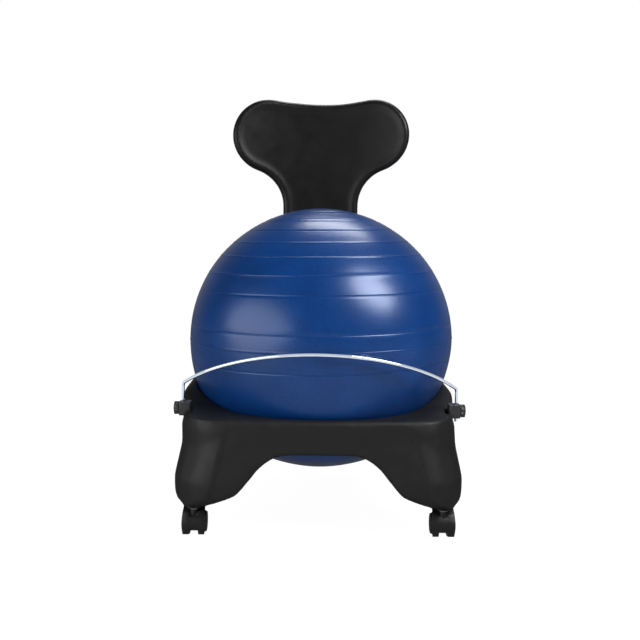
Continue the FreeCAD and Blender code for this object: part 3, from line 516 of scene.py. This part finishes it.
def reshape(piece, move):
    """Put each vertex where move(place, normal) says."""
    vertices = piece.data.vertices
    before = [(vertex.co.copy(), vertex.normal.copy()) for vertex in vertices]
    for vertex, (place, normal) in zip(vertices, before):
        vertex.co = move(place, normal)


def turned(name, profile, steps):
    """A turned piece: a circle is opened and set on a profile, which is spun round the ball's axis."""
    start()
    bpy.ops.mesh.primitive_circle_add(
        vertices=len(profile), radius=BALL_RADIUS, rotation=(math.pi / 2, 0, 0))
    piece = bpy.context.object
    piece.name = name
    piece.data.name = name
    bpy.ops.object.transform_apply(location=True, rotation=True, scale=True)
    for vertex, place in zip(piece.data.vertices, profile):
        vertex.co = place
    mesh = bmesh.new()
    mesh.from_mesh(piece.data)
    mesh.verts.ensure_lookup_table()
    ends = {mesh.verts[0], mesh.verts[-1]}
    bmesh.ops.delete(
        mesh, geom=[edge for edge in mesh.edges if set(edge.verts) == ends], context="EDGES_FACES")
    mesh.to_mesh(piece.data)
    mesh.free()
    take(piece)
    bpy.ops.object.mode_set(mode="EDIT")
    bpy.ops.mesh.select_all(action="SELECT")
    bpy.ops.mesh.spin(steps=steps, angle=2 * math.pi, center=BALL_CENTRE, axis=(0, 0, 1))
    bpy.ops.mesh.select_all(action="SELECT")
    bpy.ops.mesh.remove_doubles(threshold=0.005 * MM)
    bpy.ops.mesh.normals_make_consistent(inside=False)
    bpy.ops.object.mode_set(mode="OBJECT")
    return piece


# The ball. Its moulded rings: latitude in degrees, and whether the ring is a ridge (1) or a groove (-1)
RINGS = (
    (77.7, 1), (73.0, -1), (67.0, 1), (64.5, -1), (56.6, -1), (48.8, 1), (40.8, 1), (32.1, 1), (23.4, -1),
    (7.8, -1), (1.1, 1), (-7.4, -1),
)
# The mesh's rows across a ring, as shares of half its width
RING_ROWS = (-1.0, -0.66, -0.33, 0.0, 0.33, 0.66, 1.0)
# The mesh's rows between the rings: their spacing in degrees, and the steps from the foot to the top
ROW_SPACING = 2.0
ROW_STEPS = range(-42, 46)
# How near to a ring's middle such a row may come, in halves of the ring's width
ROW_CLEARANCE = 1.3
# How high a ridge stands, as a share of a groove's depth
RIDGE_SHARE = 0.9
SPIN_STEPS = 160
# The recess for the plug's head: its depth, the round of its edge, its room round the head, and how
# far its lip reaches past the head
RECESS_DEPTH = 1.7 * MM
RECESS_ROUND = 0.3 * MM
RECESS_GAP = 0.1 * MM
RECESS_LIP = 0.8 * MM
# How the ball sits. It leans, its free part is fuller and stands to one side, and its foot is pressed
# up. Each pair is where such a change starts and ends, by the height over the centre
TILT_HEIGHTS = (-0.94 * BALL_RADIUS, -0.6 * BALL_RADIUS)
FREE_HEIGHTS = (-0.42 * BALL_RADIUS, 0.05 * BALL_RADIUS)
TOP_HEIGHTS = (0.6 * BALL_RADIUS, 0.95 * BALL_RADIUS)
FULLNESS = 0.005
# The foot's rise, and between which depths under the centre
FOOT_RISE = 4.2 * MM
FOOT_DEPTHS = (0.82 * BALL_RADIUS, 0.97 * BALL_RADIUS)


class CHAIR_OT_ball(bpy.types.Operator):
    """Turn the inflated ball with its moulded rings, and ease its air plug"""
    bl_idname = "chair.ball"
    bl_label = "Ball"

    def execute(self, context):
        sizes = settings().ball
        ball = turned("ball_skin", self.recess() + self.skin(sizes), SPIN_STEPS)
        reshape(ball, self.sit(sizes))
        smooth(ball)
        finish(ball, "ball", "ball", pearl_vinyl())
        plug = eased("ball_plug", "air_plug", 0.5 * MM)
        finish(plug, "ball_plug", "ball", plug_ldpe())
        return {"FINISHED"}

    def recess(self):
        """The profile of the recess that the plug's head lies in, from the axis outwards."""
        low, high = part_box("ball_plug")
        reach = (high.x - low.x) / 2 + RECESS_GAP
        return [
            Vector((0, 0, BALL_LOW.z + RECESS_DEPTH)),
            Vector((reach, 0, BALL_LOW.z + RECESS_DEPTH)),
            Vector((reach + RECESS_GAP, 0, BALL_LOW.z + RECESS_ROUND)),
            Vector((reach + RECESS_LIP, 0, BALL_LOW.z + RECESS_ROUND / 2)),
        ]

    def skin(self, sizes):
        """The profile of the skin, from the foot to the top."""
        half_ring = math.degrees(sizes.ring_width / 2 / BALL_RADIUS)
        rows = [latitude + share * half_ring for latitude, _ in RINGS for share in RING_ROWS]
        rows += [
            step * ROW_SPACING for step in ROW_STEPS
            if all(abs(step * ROW_SPACING - latitude) > half_ring * ROW_CLEARANCE for latitude, _ in RINGS)]
        profile = []
        for latitude in sorted(rows):
            rise = 0.0
            for ring, way in RINGS:
                off = abs(latitude - ring) / half_ring
                if off < 1:
                    rise += way * sizes.ring_height * (0.5 + 0.5 * math.cos(math.pi * off))
            reach = BALL_RADIUS + min(0.0, rise) + max(0.0, rise) * RIDGE_SHARE
            angle = math.radians(latitude)
            profile.append(BALL_CENTRE + Vector((math.cos(angle), 0, math.sin(angle))) * reach)
        profile.append(BALL_CENTRE + Vector((0, 0, BALL_RADIUS)))
        return profile

    def sit(self, sizes):
        """What leans, fills and shifts the ball over its cup, and presses up its foot."""
        def move(place, _):
            off = place - BALL_CENTRE
            angle = -sizes.tilt * ease(off.z, *TILT_HEIGHTS)
            leant = Matrix.Rotation(angle, 3, "Y") @ off
            free = ease(off.z, *FREE_HEIGHTS)
            fuller = 1 + FULLNESS * free * (1 - ease(off.z, *TOP_HEIGHTS))
            rise = FOOT_RISE * ease(-off.z, *FOOT_DEPTHS)
            leant = Vector((leant.x * fuller, leant.y * fuller, leant.z))
            return BALL_CENTRE + leant + Vector((sizes.shift * free, 0, rise))

        return move


# The base, in metres. Round the clamps and sockets it is smoothed by this share only
HELD_MARGIN = 5 * MM
HELD_SHARE = 0.12
# The edge of a corner pad: how far it is from the middle of the side at a height over the floor, how
# much farther for each metre below that, and how far the step spreads to either side of it
PAD_EDGE = 0.159
PAD_EDGE_HEIGHT = 0.183
PAD_EDGE_LEAN = 0.25
PAD_STEP_START = -1 * MM
PAD_STEP_END = 4 * MM
# The heights between which the step starts and ends
PAD_FOOT_HEIGHTS = (0.05, 0.07)
PAD_TOP_HEIGHTS = (0.186, 0.206)
# A side wall: its least distance from the middle of the chair, and how squarely it faces outwards
WALL_REACH = 0.2
WALL_FACING = (0.6, 0.9)
# The right-hand side, sunk at the leg and once more at the deck
LEG_SINK = 1.8 * MM
LEG_SINK_HEIGHTS = (0.05, 0.08)
DECK_SINK = 3 * MM
DECK_SINK_HEIGHTS = (0.15, 0.2)
SINK_REACHES = (0.18, 0.225)
# The lower edges of the panels between the legs
PANEL_RISE = 4 * MM
PANEL_RISE_HEIGHTS = (0.13, 0.165)
PANEL_HALF_WIDTHS = (0.07, 0.11)
PANEL_REACHES = (0.19, 0.215)
CUP_GAP = 0.3 * MM


class CHAIR_OT_base(bpy.types.Operator):
    """Round the blow-moulded base, and set off its corner pads from the panels"""
    bl_idname = "chair.base"
    bl_label = "Base"

    def execute(self, context):
        sizes = settings().base
        base = merged_copy("base_moulding", "base_shell")
        outermost(base)
        apply_modifier(base, "REMESH", mode="VOXEL", voxel_size=sizes.voxel, adaptivity=0.0)
        self.free_group(base)
        apply_modifier(base, "SMOOTH", factor=0.5, iterations=sizes.roundness, vertex_group="free")
        reshape(base, lambda place, normal: self.set_off_pad(place, normal, sizes.crease))
        apply_modifier(base, "SMOOTH", factor=0.5, iterations=1, vertex_group="free")
        base.vertex_groups.clear()
        reshape(base, self.settle)
        reshape(base, self.keep_off_ball)
        smooth(base)
        finish(base, "base_moulding", "base", blow_moulded_hdpe())
        return {"FINISHED"}

    def free_group(self, base):
        """Group the vertices that may be smoothed, with little weight round the clamps and sockets."""
        pockets = [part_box(f"{side}_clamp_block") for side in SIDES]
        pockets += [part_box(f"{corner}_caster_socket") for corner in CORNERS]
        group = base.vertex_groups.new(name="free")
        for vertex in base.data.vertices:
            held = any(
                all(low[axis] - HELD_MARGIN < vertex.co[axis] < high[axis] + HELD_MARGIN for axis in range(3))
                for low, high in pockets)
            group.add([vertex.index], HELD_SHARE if held else 1.0, "REPLACE")

    def set_off_pad(self, place, normal, step):
        """Raise the corner pads off the panels by a small step along their edges."""
        line = PAD_EDGE + (PAD_EDGE_HEIGHT - place.z) * PAD_EDGE_LEAN
        moved = place.copy()
        for along, across in ((0, 1), (1, 0)):
            if abs(normal[across]) < WALL_FACING[0] or abs(place[across]) < WALL_REACH:
                continue
            share = ease(abs(place[along]), line + PAD_STEP_START, line + PAD_STEP_END)
            share *= ease(place.z, *PAD_FOOT_HEIGHTS) * (1 - ease(place.z, *PAD_TOP_HEIGHTS))
            share *= ease(abs(normal[across]), *WALL_FACING)
            moved[across] += math.copysign(step * share, place[across])
        return moved

    def settle(self, place, _):
        """The deck's right-hand side has sunk in a little, and the panels' lower edges have drawn up."""
        sunk = LEG_SINK * ease(place.z, *LEG_SINK_HEIGHTS) + DECK_SINK * ease(place.z, *DECK_SINK_HEIGHTS)
        sunk *= ease(place.x, *SINK_REACHES)
        across, out = sorted((abs(place.x), abs(place.y)))
        drawn = PANEL_RISE * (1 - ease(across, *PANEL_HALF_WIDTHS))
        drawn *= (1 - ease(place.z, *PANEL_RISE_HEIGHTS)) * ease(out, *PANEL_REACHES)
        return place + Vector((-sunk, 0, drawn))

    def keep_off_ball(self, place, _):
        """Push the cup back where the smoothing has brought it into the ball."""
        off = place - BALL_CENTRE
        nearest = BALL_RADIUS + CUP_GAP
        return BALL_CENTRE + off.normalized() * nearest if off.length < nearest else place


# The backrest. The room in the pad for the board and the upright: its half width and its heights
ROOM_HALF_WIDTH = 0.062
ROOM_HEIGHTS = (0.549, 0.73)
# The rim's crown, and where its inner slope starts and ends, in widths of the rim
RIM_CROWN = 0.6 * MM
RIM_SLOPE = (0.5, 1.5)
# The outline faces forwards or backwards less squarely than this, and the pad's face more squarely
OUTLINE_FACING = 0.25
FRONT_FACING = 0.5
# The left-hand lobe is longer, and the pad leans up to the right: how far, and between which reaches
LOBE_LENGTH = 2 * MM
LOBE_LENGTH_REACHES = (50 * MM, 120 * MM)
LOBE_LEAN = 0.0157
LOBE_LEAN_REACHES = (35 * MM, 80 * MM)


class CHAIR_OT_backrest(bpy.types.Operator):
    """Round the backrest pad and roll its rim, and ease its upright and fastenings"""
    bl_idname = "chair.backrest"
    bl_label = "Backrest"

    def execute(self, context):
        sizes = settings().backrest
        pad = merged_copy("backrest_pad", "backrest_cushion")
        apply_modifier(pad, "REMESH", mode="VOXEL", voxel_size=sizes.voxel, adaptivity=0.0)
        apply_modifier(pad, "SMOOTH", factor=0.5, iterations=8)
        reshape(pad, self.rolled_rim(pad, sizes))
        apply_modifier(pad, "SMOOTH", factor=0.5, iterations=3)
        reshape(pad, self.lean)
        smooth(pad)
        finish(pad, "backrest_pad", "base", skinned_foam())
        upright = eased("backrest_upright", "back_upright", 1.2 * MM)
        finish(upright, "backrest_upright", "base", powder_coat())
        for node, name in (
            ("upright_bolts", "back_bolts"),
            ("upright_washers", "back_washers"),
            ("pad_screws", "back_screws"),
        ):
            finish(eased(node, name, 0.35 * MM), node, "base", zinc_plate())
        dress("backrest_board", birch_plywood())
        dress("upright_inserts", turned_brass())
        return {"FINISHED"}

    def rolled_rim(self, pad, sizes):
        """What sinks the pad's face behind a rolled rim."""
        low, high = ROOM_HEIGHTS
        outline = [
            vertex.co.copy() for vertex in pad.data.vertices
            if abs(vertex.normal.y) < OUTLINE_FACING
            and not (abs(vertex.co.x) < ROOM_HALF_WIDTH and low < vertex.co.z < high)]
        tree = kdtree.KDTree(len(outline))
        for index, place in enumerate(outline):
            tree.insert((place.x, 0, place.z), index)
        tree.balance()
        slope = [sizes.rim * share for share in RIM_SLOPE]

        def move(place, normal):
            if normal.y > -FRONT_FACING:
                return place
            gap = tree.find((place.x, 0, place.z))[2]
            sink = ease(gap, *slope)
            crown = math.sin(math.pi * min(1.0, gap / sizes.rim)) * RIM_CROWN
            return place + Vector((0, sizes.dish * sink - crown, 0))

        return move

    def lean(self, place, _):
        """The right-hand lobe stands a little higher than the left, which is a little longer."""
        longer = LOBE_LENGTH * ease(-place.x, *LOBE_LENGTH_REACHES)
        higher = LOBE_LEAN * place.x * ease(abs(place.x), *LOBE_LEAN_REACHES)
        return place + Vector((-longer, 0, higher))


# How far the bar's right-hand leg stands below the left one, as a share of the width between them
BAR_LEAN = 0.012


class CHAIR_OT_bar(bpy.types.Operator):
    """Ease the chromed retaining bar, and lean it as it stands in its clamps"""
    bl_idname = "chair.bar"
    bl_label = "Retaining bar"

    def execute(self, context):
        bar = eased("retaining_bar", "front_bar", 0.8 * MM)
        reshape(bar, lambda place, _: place - Vector((0, 0, place.x * BAR_LEAN)))
        finish(bar, "retaining_bar", "bar", bright_chrome())
        return {"FINISHED"}


# A knob's outer end: how far it is drawn in, and between which distances from the middle of the chair
KNOB_DRAW = 3 * MM
KNOB_REACHES = (0.2575, 0.2615)


class CHAIR_OT_clamps(bpy.types.Operator):
    """Ease the clamp blocks, the knobs, and their studs and screws"""
    bl_idname = "chair.clamps"
    bl_label = "Clamps"

    def execute(self, context):
        for side in SIDES:
            block = eased(f"{side}_clamp_block", f"{side}_bar_block", 1.2 * MM)
            finish(block, f"{side}_clamp_block", "base", clamp_abs())
            knob = eased(f"{side}_clamp_knob", f"{side}_bar_knob", 0.8 * MM)
            reshape(knob, self.draw_in)
            finish(knob, f"{side}_clamp_knob", f"{side}_knob", clamp_abs())
            stud = eased(f"{side}_clamp_stud", f"{side}_knob_stud", 0.4 * MM)
            finish(stud, f"{side}_clamp_stud", f"{side}_knob", zinc_plate())
        screws = eased("clamp_screws", "block_screws", 0.3 * MM)
        finish(screws, "clamp_screws", "base", zinc_plate())
        return {"FINISHED"}

    def draw_in(self, place, _):
        """Bring a knob's outer end nearer to its block."""
        drawn = math.copysign(KNOB_DRAW * ease(abs(place.x), *KNOB_REACHES), place.x)
        return Vector((place.x - drawn, place.y, place.z))


# A caster's hood, by the height over the floor and the distance from its stem. Its boss is thinned
BOSS_FOOT = 34 * MM
BOSS_RADII = (7 * MM, 9.6 * MM)
BOSS_THINNING = 0.26
# The hood is full at its waist and narrower above and below
WAIST_HEIGHT = 27 * MM
WAIST_RUN = 19 * MM
WAIST_SHARE = 0.08
# The lower edge is lifted to a notch between two added edges, and the rest of it let down
NOTCH_EDGES = (8.0 * MM, 9.0 * MM)
NOTCH_REACHES = (8.1 * MM, 8.9 * MM)
NOTCH_LIFT = 7 * MM
SKIRT_DROP = 2.5 * MM
SKIRT_HEIGHTS = (8 * MM, 22 * MM)
CROWN_LIFT = 3 * MM
CROWN_HEIGHTS = (36 * MM, 45 * MM)


class CHAIR_OT_casters(bpy.types.Operator):
    """Ease the pieces of the four twin-wheel casters, and shape their hoods"""
    bl_idname = "chair.casters"
    bl_label = "Casters"

    def execute(self, context):
        for corner in CORNERS:
            body = f"{corner}_caster"
            low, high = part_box(f"{body}_stem")
            middle = (low + high) / 2
            hood = eased(f"{body}_hood", f"{corner}_hood", 0.9 * MM)
            self.add_edges(hood, [middle.x + way * edge for way in (-1, 1) for edge in NOTCH_EDGES])
            reshape(hood, self.barrel(middle))
            finish(hood, f"{body}_hood", body, moulded_nylon())
            stem = eased(f"{body}_stem", f"{corner}_stem", 0.5 * MM)
            finish(stem, f"{body}_stem", body, zinc_plate())
            axle = eased(f"{body}_axle", f"{corner}_axle", 0.4 * MM)
            finish(axle, f"{body}_axle", body, zinc_plate())
            socket = eased(f"{body}_socket", f"{corner}_socket", 0.4 * MM)
            finish(socket, f"{body}_socket", "base", socket_nylon())
            for side in SIDES:
                node = f"{corner}_{side}_wheel"
                wheel = eased(node, f"{corner}_{side}_roller", 0.4 * MM)
                finish(wheel, node, node, wheel_nylon())
        return {"FINISHED"}

    def add_edges(self, hood, places):
        """Add edges round a hood where it meets upright planes across the X axis."""
        mesh = bmesh.new()
        mesh.from_mesh(hood.data)
        for place in places:
            bmesh.ops.bisect_plane(
                mesh, geom=[*mesh.verts, *mesh.edges, *mesh.faces], dist=0.001 * MM,
                plane_co=(place, 0, 0), plane_no=(1, 0, 0))
        mesh.to_mesh(hood.data)
        mesh.free()

    def barrel(self, middle):
        """What draws a hood in above and below its waist, shapes its edges and thins its boss."""
        nearest, farthest = BOSS_RADII

        def move(place, _):
            away = Vector((place.x - middle.x, place.y - middle.y, 0))
            if place.z > BOSS_FOOT and nearest < away.length < farthest:
                return place - away * BOSS_THINNING
            waist = 1 - WAIST_SHARE * min(1.0, ((place.z - WAIST_HEIGHT) / WAIST_RUN) ** 2)
            notch = 1 - ease(abs(away.x), *NOTCH_REACHES)
            lift = (NOTCH_LIFT * notch - SKIRT_DROP) * (1 - ease(place.z, *SKIRT_HEIGHTS))
            lift += CROWN_LIFT * ease(place.z, *CROWN_HEIGHTS)
            return Vector((middle.x + away.x * waist, place.y, place.z + lift))

        return move


# The camera's lens in millimetres, its place in metres, and its turns about X, Y and Z in degrees:
# 5.92 down from the level, and a little roll and turn
CAMERA_LENS = 50.6
CAMERA_PLACE = (-0.0176, -1.7335, 0.5366)
CAMERA_TURNS = (90 - 5.92, -0.78, -0.49)
FLOOR_SIZE = 30


class CHAIR_OT_stage(bpy.types.Operator):
    """Set the pale floor, the softboxes and the camera"""
    bl_idname = "chair.stage"
    bl_label = "Stage"

    def execute(self, context):
        studio = settings().studio
        start()
        bpy.ops.mesh.primitive_plane_add(size=FLOOR_SIZE, location=(0, 0, 0))
        floor = context.object
        floor.name = "studio_floor"
        floor.data.materials.append(self.floor_paper())
        self.softbox(
            "right_softbox", studio.right, way=(0.605, -0.454, 0.654), distance=2.0,
            width=1.25, height=0.8, turn=-59)
        self.softbox(
            "overhead_softbox", studio.overhead, way=(0.13, 0.42, 0.90), distance=1.8,
            width=1.1, height=0.5)
        self.softbox(
            "left_softbox", studio.left, way=(-0.80, -0.56, 0.20), distance=2.0,
            width=2.2, height=1.3)
        self.room(studio.room)
        self.camera()
        context.scene.view_settings.view_transform = "Standard"
        return {"FINISHED"}

    def softbox(self, name, power, way, distance, width, height, turn=0):
        """An oval lamp that faces the ball from a direction, turned about its own axis in degrees."""
        data = bpy.data.lights.new(name, "AREA")
        data.shape = "ELLIPSE"
        data.size = width
        data.size_y = height
        data.energy = power
        lamp = bpy.data.objects.new(name, data)
        bpy.context.scene.collection.objects.link(lamp)
        way = Vector(way).normalized()
        lamp.location = BALL_CENTRE + way * distance
        facing = way.to_track_quat("Z", "Y").to_matrix()
        lamp.rotation_euler = (facing @ Matrix.Rotation(math.radians(turn), 3, "Z")).to_euler()

    def floor_paper(self):
        # Matt white background paper. The camera sees it nearly pure white, with a trace of shadow
        material, tree, place = begin("background_paper")
        path = add(tree, "ShaderNodeLightPath")
        paper = add(tree, "ShaderNodeBsdfDiffuse", {"Color": opaque(linear("#F4F4F4"))})
        # In gloss the paper is bright in front of the chair and dim under it, a painted shadow of the chair
        # that reflections show, and a mirror shows it white
        split = add(tree, "ShaderNodeSeparateXYZ", {"Vector": place})
        # Painted shadow: the paper's glow in gloss falls from bright in front of the chair to dim under and
        # behind it
        front = add(tree, "ShaderNodeMapRange", {
            "Value": (split, "Y"), "From Min": -0.55, "From Max": -0.1, "To Min": 0.4, "To Max": 0.1})
        gloss = add(tree, "ShaderNodeMix", {
            "Factor": (path, "Is Singular Ray"), "A": (front, "Result"), "B": 1.0}, data_type="FLOAT")
        level = add(tree, "ShaderNodeMix", {
            "Factor": (path, "Is Glossy Ray"), "A": 1.14, "B": (gloss, "Result")}, data_type="FLOAT")
        white = add(tree, "ShaderNodeEmission", {
            "Color": opaque((1, 1, 1)), "Strength": (level, "Result")})
        direct = add(tree, "ShaderNodeMath", {
            0: (path, "Is Camera Ray"), 1: (path, "Is Transmission Ray")}, operation="MAXIMUM")
        share = add(tree, "ShaderNodeMath", {0: (direct, "Value"), 1: 0.85}, operation="MULTIPLY")
        either = add(tree, "ShaderNodeMath", {
            0: (share, "Value"), 1: (path, "Is Glossy Ray")}, operation="MAXIMUM")
        mix = add(tree, "ShaderNodeMixShader", {
            0: (either, "Value"), 1: (paper, "BSDF"), 2: (white, "Emission")})
        add(tree, "ShaderNodeOutputMaterial", {"Surface": (mix, "Shader")})
        return material

    def room(self, level):
        """A white room, white to the camera, and in gloss bright behind the chair and dim before it."""
        world = bpy.data.worlds.new("white_room")
        bpy.context.scene.world = world
        world.use_nodes = True
        tree = world.node_tree
        tree.nodes.clear()
        path = add(tree, "ShaderNodeLightPath")
        where = add(tree, "ShaderNodeTexCoord")
        split = add(tree, "ShaderNodeSeparateXYZ", {"Vector": (where, "Generated")})
        behind = add(tree, "ShaderNodeMapRange", {
            "Value": (split, "Y"), "From Min": 0.5, "From Max": 1.0, "To Min": 0.02, "To Max": 0.22})
        gloss = add(tree, "ShaderNodeMix", {
            "Factor": (path, "Is Singular Ray"), "A": (behind, "Result"), "B": 0.72}, data_type="FLOAT")
        seen = add(tree, "ShaderNodeMix", {
            "Factor": (path, "Is Glossy Ray"), "A": level, "B": (gloss, "Result")}, data_type="FLOAT")
        direct = add(tree, "ShaderNodeMath", {
            0: (path, "Is Camera Ray"), 1: (path, "Is Transmission Ray")}, operation="MAXIMUM")
        shown = add(tree, "ShaderNodeMix", {
            "Factor": (direct, "Value"), "A": (seen, "Result"), "B": 1.0}, data_type="FLOAT")
        sky = add(tree, "ShaderNodeBackground", {
            "Color": opaque((1, 1, 1)), "Strength": (shown, "Result")})
        add(tree, "ShaderNodeOutputWorld", {"Surface": (sky, "Background")})

    def camera(self):
        """A camera in front of the chair, at about the height of the top of the ball."""
        data = bpy.data.cameras.new("camera")
        data.sensor_width = 36
        data.lens = CAMERA_LENS
        camera = bpy.data.objects.new("camera", data)
        bpy.context.scene.collection.objects.link(camera)
        camera.location = CAMERA_PLACE
        camera.rotation_euler = Euler([math.radians(turn) for turn in CAMERA_TURNS], "XYZ")
        bpy.context.scene.camera = camera


class CHAIR_PT_panel(bpy.types.Panel):
    """The chair's pieces, in the order in which they are made, and their settings"""
    bl_idname = "CHAIR_PT_panel"
    bl_label = "Ball chair"
    bl_space_type = "VIEW_3D"
    bl_region_type = "UI"
    bl_category = "Ball Chair"

    def draw(self, context):
        for operator in OPERATORS:
            self.layout.operator(operator.bl_idname)
        for part in ChairSettings.__annotations__:
            group = getattr(settings(), part)
            self.layout.label(text=part.capitalize())
            for name in type(group).__annotations__:
                self.layout.prop(group, name)


GROUPS = (
    BallSettings, BaseSettings, BackrestSettings, BarSettings, CasterSettings, StudioSettings,
    ChairSettings,
)
OPERATORS = (
    CHAIR_OT_ball, CHAIR_OT_base, CHAIR_OT_backrest, CHAIR_OT_bar, CHAIR_OT_clamps, CHAIR_OT_casters,
    CHAIR_OT_stage,
)
CLASSES = (*GROUPS, *OPERATORS, CHAIR_PT_panel)


def register():
    for member in CLASSES:
        bpy.utils.register_class(member)
    bpy.types.Scene.ball_chair = bpy.props.PointerProperty(type=ChairSettings)


def unregister():
    del bpy.types.Scene.ball_chair
    for member in reversed(CLASSES):
        bpy.utils.unregister_class(member)


def main():
    register()
    for operator in OPERATORS:
        getattr(bpy.ops.chair, operator.bl_idname.split(".")[1])()


if __name__ == "__main__":
    main()
